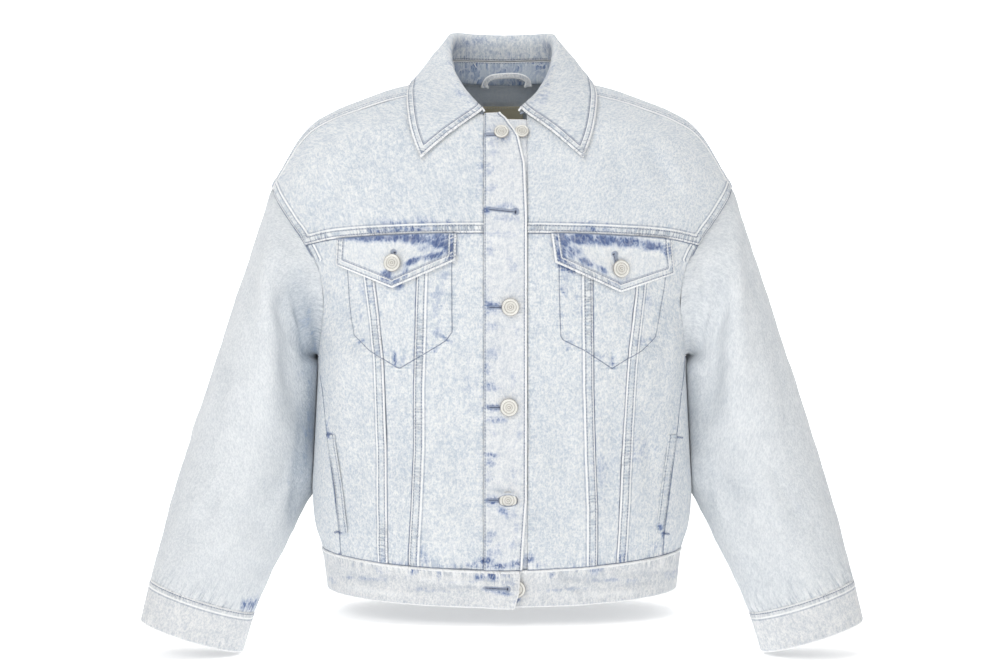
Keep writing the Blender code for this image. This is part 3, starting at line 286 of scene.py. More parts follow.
def torso_normal(angle, row):
    """The outward direction of the body's cloth there."""
    low = np.maximum(angle - SMALL_TURN, -math.pi / 2)
    high = np.minimum(angle + SMALL_TURN, math.pi / 2)
    across = torso(high, row) - torso(low, row)
    along = torso(angle, row + SMALL_STEP) - torso(angle, row - SMALL_STEP)
    return unit(np.cross(across, along))


def solve(function, low, high):
    """Where increasing functions pass nought."""
    for _ in range(HALVINGS):
        middle = (low + high) / 2
        short = function(middle) < 0
        low, high = np.where(short, middle, low), np.where(short, high, middle)
    return (low + high) / 2


def angle_at(row, x_of_z, side):
    """The angles on rings where the cloth passes the seam x_of_z, on one side of the body."""
    row = np.asarray(row, float)

    def past(angle):
        spot = torso(side * angle, row)
        return spot[..., 0] * side - x_of_z(spot[..., 2])

    quarter = np.full(row.shape, math.pi / 2)
    return side * solve(past, -quarter, quarter)


def angle_across(x, row):
    """The angles on rings at a distance x from the centre plane."""
    return np.arcsin(np.clip(x / torso_ring(row).half_width, -1, 1))


def armhole(row):
    """The angles on rings where the armhole cuts them."""
    ring = torso_ring(row)
    return np.arcsin(np.minimum(ring.edge_x / ring.half_width, 1.0))


def spot_under(x, y, first, last):
    """(angle, ring) of the points of the body at plan positions, between two rings."""
    x, y = np.broadcast_arrays(np.asarray(x, float), np.asarray(y, float))
    low, high = np.full(x.shape, first), np.full(x.shape, last)
    row = solve(lambda r: torso(angle_across(x, r), r)[..., 1] - y, low, high)
    return angle_across(x, row), row


def spot_seen(x, z, lowest, highest):
    """(angle, ring) of the points that are seen at (x, z) from in front or behind, between two rings."""
    x, z = np.broadcast_arrays(np.asarray(x, float), np.asarray(z, float))

    def height(share):
        row = lowest + (highest - lowest) * share
        return torso(angle_across(x, row), row)[..., 2] - z

    row = lowest + (highest - lowest) * solve(height, np.zeros(x.shape), np.ones(x.shape))
    return angle_across(x, row), row


def spot_on_front(x, z):
    """(angle, ring) of the points of the front that are seen at (x, z)."""
    return spot_seen(x, z, ROW["front hem"], ROW["front top"])


def neck_points(degrees):
    """(angle, ring) of the points of the neckline this far round from the centre front."""
    middle_y = (NECK_FRONT_Y + NECK_BACK_Y) / 2
    half_depth = (NECK_BACK_Y - NECK_FRONT_Y) / 2
    x = NECK_HALF_WIDTH * np.sin(np.radians(degrees))
    y = middle_y - half_depth * np.cos(np.radians(degrees))
    return spot_under(x, y, ROW["front neck"] - NECK_MARGIN, ROW["back neck"] + NECK_MARGIN)


NECK_ANGLES, NECK_ROWS = neck_points(np.linspace(NECK_FRONT_ANGLE, 180, NECK_POINTS))
NECK_ROW = NECK_ROWS[0]
SHOULDER_ROW = float(neck_points(NECK_SHOULDER_ANGLE)[1])
NAPE_ROW = NECK_ROWS[-1]
FRONT_DENSE = np.linspace(ROW["front hem"], ROW["front armpit"], EDGE_POINTS)
BACK_DENSE = np.linspace(ROW["back hem"], ROW["back armpit"], EDGE_POINTS)


def ring_at_height(height, back):
    """The rings whose edges are at these heights, on the front or the back, at the armpit or below it."""
    front_row = np.interp(height, torso_ring(FRONT_DENSE).edge_z, FRONT_DENSE)
    back_row = np.interp(height, torso_ring(BACK_DENSE).edge_z, BACK_DENSE)
    return np.where(back, back_row, front_row)


def eased(value, start, end):
    """A share that goes smoothly from nought at the start to one at the end."""
    share = np.clip((value - start) / (end - start), 0, 1)
    return share * share * (3 - 2 * share)


# ---------------------------------------------------------------- how the cloth is sewn and worn

FLANK = 1.4  # how far the side of a felled ridge runs along the cloth
EDGE_ROUND, EDGE_ROUND_REACH = 0.45, 0.9  # how far a cut edge rounds down, and over what distance
FAR = 30.0  # a mark's value where what it marks is nowhere near
WAVE_SIZES = ((46, 0.7), (21, 0.42), (10, 0.16))  # lengths and heights of the cloth's small unevenness
# How much the wash whitens gathers and small waves that stand proud, and leaves blue those that lie low.
RELIEF_OF_GATHERS, RELIEF_OF_WAVES = 0.7, 0.05

# How a side is sewn: the ridge's height and width, the distances of its two rows of stitches, whether its
# edge is worn white or lies in a dark ditch, how deep it is gathered, how closely and how far in, and how
# strongly it puckers the cloth.
Seam = namedtuple("Seam", "ridge width first second white dark gather spacing reach pull")
FELLED = Seam(1.1, 10.5, 2.2, 8.6, 1.0, 0.0, 0.3, 7.0, 5, 0.8)
YOKE_FELLED = Seam(1.1, 9.5, 2.3, 7.6, 1.2, 0.0, 0.4, 8.0, 9, 1.2)
DITCH = Seam(0.0, 0.0, None, None, 0.0, 1.0, 0.2, 7.0, 6, 0.5)
BAND_EDGE = Seam(0.9, 1.8, None, None, 1.4, 0.0, 0.6, 10.0, 7, 1.7)
LAP_SIDE = Seam(1.0, 2.2, 3.0, None, 1.4, 0.0, 0.25, 9.0, 7, 0.8)
FOLDED = Seam(0.2, 0.8, 1.9, None, 0.5, 0.0, 0.25, 7.0, 8, 1.3)
WELT_EDGE = Seam(0.2, 1.2, 1.7, None, 0.0, 0.0, 0.3, 6.0, 6, 0.9)
PLAIN = Seam(0.0, 0.0, None, None, 0.0, 0.0, 0.25, 7.0, 9, 0.7)
GATHERED = Seam(0.0, 0.0, None, None, 0.0, 1.0, 0.6, 8.0, 14, 1.2)
TURNED = Seam(0.0, 7.0, 2.2, 7.6, 1.2, 0.0, 0.25, 7.0, 5, 0.9)
HEM = Seam(0.0, 2.0, None, None, 0.8, 0.0, 0.3, 9.0, 9, 0.8)

# What the cloth's marks are before anything is sewn: distances to stitches and edges, and shares.
MARKS = {"first": FAR, "second": FAR, "flank": FAR, "dark": FAR, "white": FAR, "pocket": FAR, "indigo": 0.0,
         "relief": 0.0, "slot": FAR, "pulled_in": 0.0, "pulled_down": 0.0}
STITCHED_END = 2  # over what length a stretch of sewing ends
FELLED_WIDTH = 5  # a ridge wider than this is a felled seam
# Gathers come and go along a seam: their mean strength, how much it varies, over what length, and a seed.
PATCHY_MEAN, PATCHY_SWING, PATCHY_LENGTH, PATCHY_SEED = 0.75, 0.35, 31, 500
# Folds are uneven along their line: how much, over what length of the line's parts, and how full they are.
FOLD_SWING, FOLD_LENGTH, FOLD_PARTS, FOLD_FULLNESS = 0.35, 45, 200, 0.8
WIDE_TINT, NARROW_TINT = 0.1, 0.5  # how much a fold's colour differs, for wide folds and for narrow ones: partly the wash, partly painted shade in its trough
NARROW_FOLD = 4.5
HOLE_RIM = 0.4  # how far the cloth stands up round a buttonhole
HOLE_RIM_START, HOLE_RIM_END = 4.5, 1.8
RIPPLE_KNOTS, RIPPLE_START = 512, 7
WAVE_KNOTS, WAVE_START, WAVE_SEEDS = 64, 20, 7
LEAST_SQUARE = 0.05
holes = []


def ripple(at, length, seed):
    """Smooth unevenness along a line, between -1 and 1."""
    knots = np.random.default_rng(seed).uniform(-1, 1, RIPPLE_KNOTS)
    place = np.abs(at) / length + RIPPLE_START
    i = np.floor(place).astype(int)
    share = eased(place - i, 0, 1)
    return knots[i % RIPPLE_KNOTS] * (1 - share) + knots[(i + 1) % RIPPLE_KNOTS] * share


def waves(u, v, length, seed):
    """Smooth unevenness over a surface, between -1 and 1."""
    count = WAVE_KNOTS
    knots = np.random.default_rng(seed).uniform(-1, 1, (count, count))
    u, v = u / length + WAVE_START, v / length + WAVE_START
    i, j = np.floor(u).astype(int), np.floor(v).astype(int)
    s, t = eased(u - i, 0, 1), eased(v - j, 0, 1)
    low = knots[i % count, j % count] * (1 - s) + knots[(i + 1) % count, j % count] * s
    high = knots[i % count, (j + 1) % count] * (1 - s) + knots[(i + 1) % count, (j + 1) % count] * s
    return low * (1 - t) + high * t


class Cloth:
    """A grid of points in rows and columns with outward directions, and what is sewn and worn on it.

    Its sides are "low" and "high", the first and last rows, and "in" and "out", the first and last columns.
    """

    def __init__(self, points, normals, seed=1):
        self.points = np.array(points, float)
        self.normals = unit(np.array(normals, float))
        across = np.linalg.norm(np.diff(self.points, axis=1), axis=2)
        along = np.linalg.norm(np.diff(self.points, axis=0), axis=2)
        self.across = np.pad(np.cumsum(across, axis=1), ((0, 0), (1, 0)))
        self.along = np.pad(np.cumsum(along, axis=0), ((1, 0), (0, 0)))
        self.lift = np.zeros(self.points.shape[:2])
        self.marks = {name: np.full(self.lift.shape, value) for name, value in MARKS.items()}
        self.seed = seed

    def square_share(self, side):
        """How nearly squarely the grid's lines meet a side, from nought to one, along it."""
        edge = {"in": np.s_[:, 0], "out": np.s_[:, -1], "low": np.s_[0], "high": np.s_[-1]}[side]
        inner = {"in": np.s_[:, 1], "out": np.s_[:, -2], "low": np.s_[1], "high": np.s_[-2]}[side]
        way = unit(self.points[inner] - self.points[edge])
        edge_way = unit(np.gradient(self.points[edge], axis=0))
        return np.sqrt(np.maximum(1 - (way * edge_way).sum(axis=-1) ** 2, LEAST_SQUARE))

    def distance(self, side):
        """How far each point is from one side of the cloth, squarely to it."""
        square = self.square_share(side)
        if side in ("in", "out"):
            run = self.across if side == "in" else self.across[:, -1:] - self.across
            return run * square[:, None]
        run = self.along if side == "low" else self.along[-1:] - self.along
        return run * square[None, :]

    def length_on(self, side):
        """How far along a side each point of the grid lies."""
        if side in ("in", "out"):
            return np.broadcast_to(self.along[:, :1] if side == "in" else self.along[:, -1:], self.lift.shape)
        return np.broadcast_to(self.across[:1] if side == "low" else self.across[-1:], self.lift.shape)

    def mark_least(self, name, value):
        """Lowers a mark to a value where it is above it."""
        self.marks[name] = np.minimum(self.marks[name], value)

    def mark_most(self, name, value):
        """Raises a mark to a value where it is below it."""
        self.marks[name] = np.maximum(self.marks[name], value)

    def sew(self, side, seam, start=-1e6, end=1e6):
        """Sews one side, along the stretch of it between two lengths."""
        self.seed += 1
        distance, length = self.distance(side), self.length_on(side)
        within = eased(length, start - STITCHED_END, start) * eased(length, end + STITCHED_END, end)
        distance = distance + FAR * (1 - within)
        band = eased(distance, seam.width + FLANK, seam.width)
        gathers = ripple(length, seam.spacing, self.seed)
        patchy = PATCHY_MEAN + PATCHY_SWING * ripple(length, PATCHY_LENGTH, self.seed + PATCHY_SEED)
        near = np.exp(-np.maximum(distance - seam.width, 0) / seam.reach) * patchy
        self.mark_most("pulled_in" if side in ("in", "out") else "pulled_down", near * seam.pull)
        self.lift += seam.ridge * band - EDGE_ROUND * np.exp(-((distance / EDGE_ROUND_REACH) ** 2))
        self.lift += seam.gather * gathers * near
        self.marks["relief"] += RELIEF_OF_GATHERS * gathers * near * seam.gather
        if seam.first:
            self.mark_least("first", distance - seam.first)
        if seam.second:
            self.mark_least("second", distance - seam.second)
        if seam.width > FELLED_WIDTH:
            self.mark_least("flank", distance - seam.width)
        if seam.white:
            self.mark_least("white", distance / seam.white)
        if seam.dark:
            self.mark_least("dark", distance)
        return self

    def inset(self, amount, sides=("low", "high", "in", "out")):
        """Draws sides back along the cloth."""
        spots = {"in": (np.s_[:, 0], np.s_[:, 1]), "out": (np.s_[:, -1], np.s_[:, -2]),
                 "low": (np.s_[0], np.s_[1]), "high": (np.s_[-1], np.s_[-2])}
        for side in sides:
            edge, inner = spots[side]
            self.points[edge] += unit(self.points[inner] - self.points[edge]) * amount
        return self

    def crease(self):
        """Adds the cloth's small unevenness."""
        middle = self.across - self.across[:, -1:] / 2
        for order, (length, height) in enumerate(WAVE_SIZES):
            wave = waves(middle, self.along, length, self.seed * WAVE_SEEDS + order)
            self.lift += height * wave
            self.marks["relief"] += RELIEF_OF_WAVES * wave
        return self

    def fold(self, line, half_width, depth, tint=WIDE_TINT):
        """Sinks a soft uneven trough along a line of points, or raises a ridge where depth is negative."""
        line = np.array(line, float)
        spots = self.points[..., [0, 2]] if line.shape[1] == 2 else self.points
        nearest, place = np.full(self.lift.shape, 1e9), np.zeros(self.lift.shape)
        for order, (start, end) in enumerate(zip(line[:-1], line[1:])):
            way = end - start
            share = np.clip((spots - start) @ way / (way @ way), 0, 1)
            away = np.linalg.norm(spots - start - share[..., None] * way, axis=-1)
            place = np.where(away < nearest, (order + share) / (len(line) - 1), place)
            nearest = np.minimum(away, nearest)
        self.seed += 1
        uneven = 1 + FOLD_SWING * ripple(place * FOLD_PARTS, FOLD_LENGTH, self.seed)
        full = np.sin(math.pi * place) ** FOLD_FULLNESS
        shape = np.exp(-((nearest / half_width) ** 2)) * full * uneven
        self.lift -= depth * shape
        # A trough is tinted darker, partly as the wash and partly as painted shade; a ridge is whitened where
        # the wash wore it.
        self.marks["relief"] -= tint * np.sign(depth) * shape
        return self

    def hole(self, closed, eye, radius):
        """A buttonhole seen from in front, from its closed end to its round eye; both are (x, z)."""
        closed, eye = np.array(closed, float), np.array(eye, float)
        way = unit(eye - closed)
        off = self.points[..., [0, 2]] - closed
        along, across = off @ way, off @ np.array([-way[1], way[0]])
        length = np.linalg.norm(eye - closed)
        away = np.hypot(across, along - np.clip(along, 0, length))
        self.mark_least("slot", np.minimum(away, np.abs(np.hypot(along - length, across) - radius)))
        self.lift += HOLE_RIM * eased(away, HOLE_RIM_START, HOLE_RIM_END)
        holes.append((self, closed, eye, radius))
        return self

    def line(self, side, distance):
        """The points and directions of a row of stitches at a distance from a side, on the outer face."""
        run = self.distance(side)
        outer = self.points + self.normals * (self.outer + self.lift)[..., None]
        if side in ("low", "high"):
            run, outer, normals = run.T, outer.transpose(1, 0, 2), self.normals.transpose(1, 0, 2)
        else:
            normals = self.normals
        if side in ("out", "high"):
            run, outer, normals = run[:, ::-1], outer[:, ::-1], normals[:, ::-1]
        points, ways = [], []
        for spots, line, facing in zip(run, outer, normals):
            if spots[-1] > distance:
                points.append([np.interp(distance, spots, line[:, k]) for k in range(3)])
                ways.append([np.interp(distance, spots, facing[:, k]) for k in range(3)])
        return np.array(points), np.array(ways)


def cloth_between(rows, left, right, columns, seed):
    """Cloth on the body: its rows are rings, and its columns go from the angle left(row) to right(row)."""
    share = np.linspace(0, 1, columns)
    angle = left(rows)[:, None] * (1 - share) + right(rows)[:, None] * share
    row = np.repeat(rows[:, None], columns, axis=1)
    return Cloth(torso(angle, row), torso_normal(angle, row), seed)


def cloth_on_front(x, z, seed):
    """Cloth on the front over a grid of places (x, z) seen from in front."""
    spot = spot_on_front(x, z)
    return Cloth(torso(*spot), torso_normal(*spot), seed)


def rings(first, last, spacing):
    """Places along the body from one ring to another."""
    return np.linspace(first, last, max(int(abs(last - first) / spacing), 2) + 1)


# ---------------------------------------------------------------- from cloth to meshes

RIM_ROUND = 0.35  # how far the middle of a cut edge stands out
THICKER = (-0.25, 0.6)  # how much thinner or thicker the cloth is where it sinks or stands proud
MERGE_DIGITS = 2  # points of two cloths that agree to this many digits of a millimetre are one
CLOTH_APART = 311.0  # how far apart the cloths lie in the materials' noise
TINY = 1e-9
sewn = {}
collection = bpy.context.scene.collection


def grid_cells(cloth, start):
    """The four corners of each cell of a cloth's grid, turned to face outward."""
    rows, columns = cloth.lift.shape
    index = np.arange(start, start + rows * columns).reshape(rows, columns)
    cells = np.stack([index[:-1, :-1], index[:-1, 1:], index[1:, 1:], index[1:, :-1]], -1).reshape(-1, 4)
    spots = cloth.points
    facing = np.cross(spots[1:, 1:] - spots[:-1, :-1], spots[1:, :-1] - spots[:-1, 1:])
    return cells if (facing * cloth.normals[1:, 1:]).sum() > 0 else cells[:, ::-1]


def rim_of(cells):
    """The edges that only one cell has, in the order of its corners."""
    edges = np.stack([cells, np.roll(cells, -1, axis=1)], axis=-1).reshape(-1, 2)
    edges = edges[edges[:, 0] != edges[:, 1]]
    _, which, uses = np.unique(np.sort(edges, axis=1), axis=0, return_index=True, return_counts=True)
    return edges[which[uses == 1]]


def side_name(side):
    """+X is the wearer's left."""
    return "left" if side > 0 else "right"


def wall(kind, cloths, inner=-CLOTH / 2, outer=CLOTH / 2, side=0):
    """A closed thin shell from cloths that share points, sewn and worn as they say."""
    sheet = SHEETS[kind]
    name = f"{kind}_{side_name(side)}" if side else kind
    cloths = cloths if isinstance(cloths, list) else [cloths]
    sewn[name] = cloths[0]
    points, normals, lifts, thins, spots, marks, cells = [], [], [], [], [], [], []
    count = 0
    for cloth in cloths:
        shape = cloth.lift.shape
        cloth.outer = np.broadcast_to(np.asarray(outer, float), shape)
        cloth.inner = np.broadcast_to(np.asarray(inner, float), shape)
        cells.append(grid_cells(cloth, count))
        count += cloth.lift.size
        points.append(cloth.points.reshape(-1, 3))
        normals.append(cloth.normals.reshape(-1, 3))
        lifts.append((cloth.outer + cloth.lift).ravel())
        thins.append((cloth.inner + cloth.lift - np.clip(cloth.lift / 2, *THICKER)).ravel())
        spots.append(np.stack([cloth.across - cloth.across[:, -1:] / 2, cloth.along,
                               np.full(shape, cloth.seed * CLOTH_APART)], -1).reshape(-1, 3))
        marks.append(np.stack([cloth.marks[mark] for mark in MARKS], -1).reshape(-1, len(MARKS)))
    together = (np.concatenate(part) for part in (points, normals, lifts, thins, spots, marks, cells))
    points, normals, lift, thin, spots, marks, cells = together
    places = np.round(points, MERGE_DIGITS) + 0.0
    _, first, back = np.unique(places, axis=0, return_index=True, return_inverse=True)
    cells = back.ravel()[cells]
    points, normals, lift = points[first], normals[first], lift[first]
    thin, spots, marks = thin[first], spots[first], marks[first]
    outside = points + normals * lift[:, None]
    inside = points + normals * thin[:, None]
    rim = rim_of(cells)
    rim_spots = np.unique(rim)
    total = len(points)
    middle_of = np.full(total, -1)
    middle_of[rim_spots] = 2 * total + np.arange(len(rim_spots))
    along = unit(outside[rim[:, 1]] - outside[rim[:, 0]] + TINY)
    out = np.cross(along, normals[rim].mean(axis=1))
    way = np.zeros_like(points)
    np.add.at(way, rim[:, 0], out)
    np.add.at(way, rim[:, 1], out)
    away = unit(way[rim_spots] + TINY)
    middles = (outside[rim_spots] + inside[rim_spots]) / 2 + away * RIM_ROUND
    everything = np.concatenate([outside, inside, middles]) * MM
    faces = [tuple(dict.fromkeys(cell)) for cell in cells.tolist()]
    faces = [face for face in faces if len(face) > 2]
    under = [tuple(total + i for i in reversed(face)) for face in faces]
    a, b = rim[:, 0], rim[:, 1]
    sides = np.stack([b, a, middle_of[a], middle_of[b]], -1).tolist()
    sides += np.stack([middle_of[b], middle_of[a], total + a, total + b], -1).tolist()
    data = bpy.data.meshes.new(name)
    data.from_pydata(everything.tolist(), [], faces + under + sides)
    data.shade_smooth()
    both = np.concatenate([np.arange(total), np.arange(total), rim_spots])
    within = np.concatenate([np.zeros(total), np.ones(total), np.zeros(len(rim_spots))])
    named = dict(zip(MARKS, marks[both].T), within=within)
    add_attribute(data, "cloth", spots[both])
    for attribute, parts in ATTRIBUTES.items():
        add_attribute(data, attribute, np.stack([named[part] for part in parts], -1))
    thing = piece(name + "_cloth", data, sheet.material, [name])


# How the marks go into the mesh, three in each attribute, for the material to read.
ATTRIBUTES = {
    "stitches": ("first", "second", "flank"),
    "edges": ("white", "dark", "pocket"),
    # The relief in it carries painted shade in folds and in the sleeves' valley, as well as the wash.
    "wash_and_shade": ("indigo", "relief", "slot"),
    "pulls": ("within", "pulled_in", "pulled_down"),
}


def add_attribute(data, name, values):
    """Stores three numbers at each point of a mesh, for its material to read."""
    attribute = data.attributes.new(name, "FLOAT_VECTOR", "POINT")
    attribute.data.foreach_set("vector", np.ascontiguousarray(values, dtype=np.float32).ravel())


def piece(name, data, material, nodes=()):
    """A piece of the jacket that stands for nodes of the frame."""
    data.materials.append(material)
    thing = bpy.data.objects.new(name, data)
    collection.objects.link(thing)
    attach(thing, "root")
    if nodes:
        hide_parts(*nodes)
    return thing


# ---------------------------------------------------------------- materials


class Shader:
    """A material's nodes, added one after another."""

    def __init__(self, name):
        self.material = bpy.data.materials.new(name)
        self.material.use_nodes = True
        self.tree = self.material.node_tree
        self.surface = self.tree.nodes["Principled BSDF"]

    def node(self, kind, inputs=(), **settings):
        """A node with its inputs set or linked."""
        made = self.tree.nodes.new(kind)
        for key, value in settings.items():
            setattr(made, key, value)
        for key, value in dict(inputs).items():
            self.put(made.inputs[key], value)
        return made

    def put(self, socket, value):
        """Sets a socket, or links it to another node's output."""
        if isinstance(value, bpy.types.NodeSocket):
            self.tree.links.new(value, socket)
        else:
            socket.default_value = value

    def math(self, operation, a, b=0.0):
        """What the operation makes of one value or two."""
        return self.node("ShaderNodeMath", {0: a, 1: b}, operation=operation).outputs[0]

    def thin(self, value, middle, half_width):
        """A thin line where the value passes the middle."""
        away = self.math("ABSOLUTE", self.math("SUBTRACT", value, middle))
        return self.fall(away, LINE_CORE * half_width, half_width)

    def product(self, first, *others):
        """The product of values."""
        for value in others:
            first = self.math("MULTIPLY", first, value)
        return first

    def greatest(self, first, *others):
        """The greatest of values."""
        for value in others:
            first = self.math("MAXIMUM", first, value)
        return first

    def weighted(self, *terms):
        """The sum of values times their weights."""
        total = 0.0
        for value, weight in terms:
            inputs = {0: value, 1: weight, 2: total}
            total = self.node("ShaderNodeMath", inputs, operation="MULTIPLY_ADD").outputs[0]
        return total

    def fall(self, value, start, end):
        """From one at the start to nought at the end, smoothly."""
        inputs = {"Value": value, "From Min": start, "From Max": end, "To Min": 1.0, "To Max": 0.0}
        made = self.node("ShaderNodeMapRange", inputs, interpolation_type="SMOOTHSTEP")
        return made.outputs["Result"]

    def mix(self, share, a, b):
        """The colour a, going over to b with the share."""
        made = self.node("ShaderNodeMix", data_type="RGBA", clamp_factor=True)
        self.put(made.inputs[0], share)
        self.put(made.inputs[6], a)
        self.put(made.inputs[7], b)
        return made.outputs[2]

    def noise(self, place, scale, detail=3.0, roughness=0.55):
        """Noise over the cloth, with its sizes given as lengths: across, along and from cloth to cloth."""
        moved = self.node("ShaderNodeMapping", {"Vector": place, "Scale": tuple(1 / s for s in scale)})
        made = self.node("ShaderNodeTexNoise", {"Vector": moved.outputs[0], "Scale": 1.0, "Detail": detail,
                                                "Roughness": roughness})
        return made.outputs["Fac"]

    def attribute(self, name):
        """The three numbers stored at the mesh's points, together and one by one."""
        made = self.node("ShaderNodeAttribute", attribute_name=name)
        parts = self.node("ShaderNodeSeparateXYZ", {0: made.outputs["Vector"]})
        return made.outputs["Vector"], parts.outputs

    def bump(self, height, strength, distance):
        """Small relief of a height."""
        made = self.node("ShaderNodeBump", {"Height": height, "Strength": strength, "Distance": distance})
        self.put(self.surface.inputs["Normal"], made.outputs[0])

    def finish(self, colour, **constants):
        """The material, with its colour and the constants of its surface."""
        self.put(self.surface.inputs["Base Color"], colour)
        for key, value in constants.items():
            self.surface.inputs[key.replace("_", " ")].default_value = value
        return self.material


def srgb(*values):
    """A colour given as it shows, from 0 to 255, in linear light."""
    shares = [v / 255 for v in values]
    linear = [s / 12.92 if s <= 0.04045 else ((s + 0.055) / 1.055) ** 2.4 for s in shares]
    return (*linear, 1.0)


PALE = srgb(240, 241, 240)
TINT = srgb(190, 200, 211)
INSIDE = srgb(222, 226, 229)
WHITE = srgb(250, 251, 251)
THIN_LINE = srgb(120, 133, 158)
INDIGO = srgb(120, 143, 184)
DEEP_INDIGO = srgb(58, 80, 130)

LINE_CORE = 0.25  # the share of a thin line that is fully drawn
# Noises over the cloth: the size across, along and from cloth to cloth in millimetres, detail and roughness.
NOISES = {
    "clouds": ((34, 46, 60), 4.0, 0.55),
    "blotches": ((9, 13, 60), 5.0, 0.62),
    "streaks": ((3.0, 24, 60), 3.0, 0.6),
    "flecks": ((2.8, 4.2, 60), 3.0, 0.7),
    "grain": ((1.4, 2.2, 60), 1.0, 0.6),
    "veins": ((8, 12, 60), 2.0, 0.5),
    "across": ((22, 2.7, 60), 2.0, 0.6),
    "down": ((2.7, 22, 60), 2.0, 0.6),
}
# The mottle: each noise, the values between which it goes from pale to tinted, and its weight.
MOTTLE = (("clouds", 0.60, 0.40, 0.10), ("blotches", 0.62, 0.38, 0.20), ("streaks", 0.64, 0.36, 0.14),
          ("flecks", 0.58, 0.42, 0.60), ("grain", 0.60, 0.40, 0.50))
PUCKER_STRENGTH = 5.0
# Low places are tinted darker: partly the wash, partly painted shade in folds and in the sleeves' valley.
LOW_TINT = 0.6  # how much low places are tinted
# Indigo left by the wash: where it turns deep, where its pale halo ends and where its core ends.
THICK, HALO, CORE = (1.20, 0.78), (0.70, 0.20), (1.04, 0.58)
HALO_SHARE, CORE_SHARE = 0.38, 0.9
# How far from a line, in millimetres, its colour reaches fully and ends.
WORN_EDGE, RIDGE_EDGE, BESIDE_RIDGE = (1.2, 2.2), (0.5, 1.3), (0.3, 1.1)
DITCH_LINE, SLOT_LINE = (0.5, 1.7), (1.4, 2.8)
# Where the painted shadow beside a felled ridge lies, out from the ridge's side.
BESIDE_RIDGE_PLACE = 1.9
STITCH_LINE = 0.8
WRINKLE_PLACE, WRINKLE_WIDTH = 0.46, 0.03
INNER_SHARE = 0.8  # how much paler and plainer the cloth's inner face is


def denim(name, mottle=0.5, blue=0.0, tone=PALE, shade=TINT, veined=0.6):
    """Acid-washed twill: mottled, whiter where it stands proud, indigo where the wash didn't reach, and
    darker where it lies low, partly as painted shade.
    """
    s = Shader(name)
    place, _ = s.attribute("cloth")
    _, (first, second, flank) = s.attribute("stitches")
    _, (white, dark, pocket) = s.attribute("edges")
    _, (indigo, relief, slot) = s.attribute("wash_and_shade")
    _, (within, pulled_in, pulled_down) = s.attribute("pulls")
    noise = {layer: s.noise(place, *settings) for layer, settings in NOISES.items()}
    off = {layer: s.math("SUBTRACT", value, 0.5) for layer, value in noise.items()}

    pucker = s.weighted((s.product(off["across"], pulled_in), PUCKER_STRENGTH),
                        (s.product(off["down"], pulled_down), PUCKER_STRENGTH))
    relief = s.math("ADD", relief, pucker)
    # Sunk places are tinted darker, which is partly painted shade.
    sunk = s.math("MAXIMUM", s.product(relief, -1.0), 0.0)
    tint = s.weighted(*((s.fall(noise[layer], high, low), weight) for layer, high, low, weight in MOTTLE))
    tint = s.weighted((tint, mottle), (sunk, LOW_TINT))
    colour = s.mix(s.math("ADD", tint, blue), tone, shade)

    pulled = s.math("MINIMUM", s.greatest(pulled_in, pulled_down), 1.0)
    vein = s.product(s.thin(noise["veins"], 0.5, 0.05), veined)
    patch = s.weighted((indigo, 1.0), (off["blotches"], 1.5), (off["flecks"], 0.6),
                       (s.product(off["streaks"], pulled), 1.0), (relief, -0.25), (vein, -0.25))
    thick, halo, core = (s.fall(patch, *limits) for limits in (THICK, HALO, CORE))
    deep = s.weighted((thick, 0.55), (s.fall(noise["flecks"], 0.6, 0.4), 0.3),
                      (s.fall(noise["grain"], 0.6, 0.4), 0.2))
    colour = s.mix(s.product(halo, HALO_SHARE), colour, INDIGO)
    colour = s.mix(s.product(core, CORE_SHARE), colour, s.mix(deep, INDIGO, DEEP_INDIGO))
    colour = s.mix(s.product(vein, halo, 0.5), colour, tone)

    ragged = s.weighted((noise["flecks"], 1.0), (noise["streaks"], 0.5), (1.0, 0.1))
    rim = s.fall(white, *WORN_EDGE)
    ridge = s.product(s.fall(s.math("ABSOLUTE", flank), *RIDGE_EDGE), ragged, 1.1)
    proud = s.product(s.math("MAXIMUM", relief, 0.0), 0.7)
    colour = s.mix(s.greatest(rim, ridge, proud), colour, WHITE)
    # Painted shadow: a thin dark line just beyond the side of each felled ridge.
    painted_ridge_shadow = s.fall(s.math("ABSOLUTE", s.math("SUBTRACT", flank, BESIDE_RIDGE_PLACE)), *BESIDE_RIDGE)
    colour = s.mix(s.product(painted_ridge_shadow, ragged, 0.5), colour, THIN_LINE)
    wrinkles = [s.product(s.thin(noise[layer], WRINKLE_PLACE, WRINKLE_WIDTH), s.fall(pull, 0.9, 0.5))
                for layer, pull in (("across", pulled_in), ("down", pulled_down))]
    on_ridge = s.fall(flank, -0.6, 0.2)
    crossed = s.product(s.greatest(*wrinkles), on_ridge, 0.6)
    colour = s.mix(crossed, colour, THIN_LINE)
    stitched = s.greatest(*(s.thin(row, 0.0, STITCH_LINE) for row in (first, second, pocket)))
    colour = s.mix(s.product(stitched, ragged), colour, THIN_LINE)
    colour = s.mix(s.product(s.fall(dark, *DITCH_LINE), ragged), colour, THIN_LINE)
    # Painted shade along each buttonhole's slit and round its eye.
    colour = s.mix(s.product(s.fall(slot, *SLOT_LINE), 0.7), colour, THIN_LINE)
    colour = s.mix(s.product(within, INNER_SHARE), colour, s.mix(noise["blotches"], INSIDE, TINT))

    twill = s.node("ShaderNodeTexWave", {"Vector": place, "Scale": 0.62, "Distortion": 1.2, "Detail": 1.0,
                                         "Detail Scale": 0.4}, wave_type="BANDS", bands_direction="DIAGONAL")
    height = s.weighted((twill.outputs["Fac"], 0.10), (noise["grain"], 0.45), (noise["flecks"], 0.40),
                        (noise["blotches"], 0.7), (noise["streaks"], 0.15), (stitched, -0.5),
                        (pucker, 0.55), (crossed, -0.5))
    s.bump(height, 1.0, MM)
    return s.finish(colour, Roughness=0.92, Specular_IOR_Level=0.25, Sheen_Weight=0.12, Sheen_Roughness=0.5)


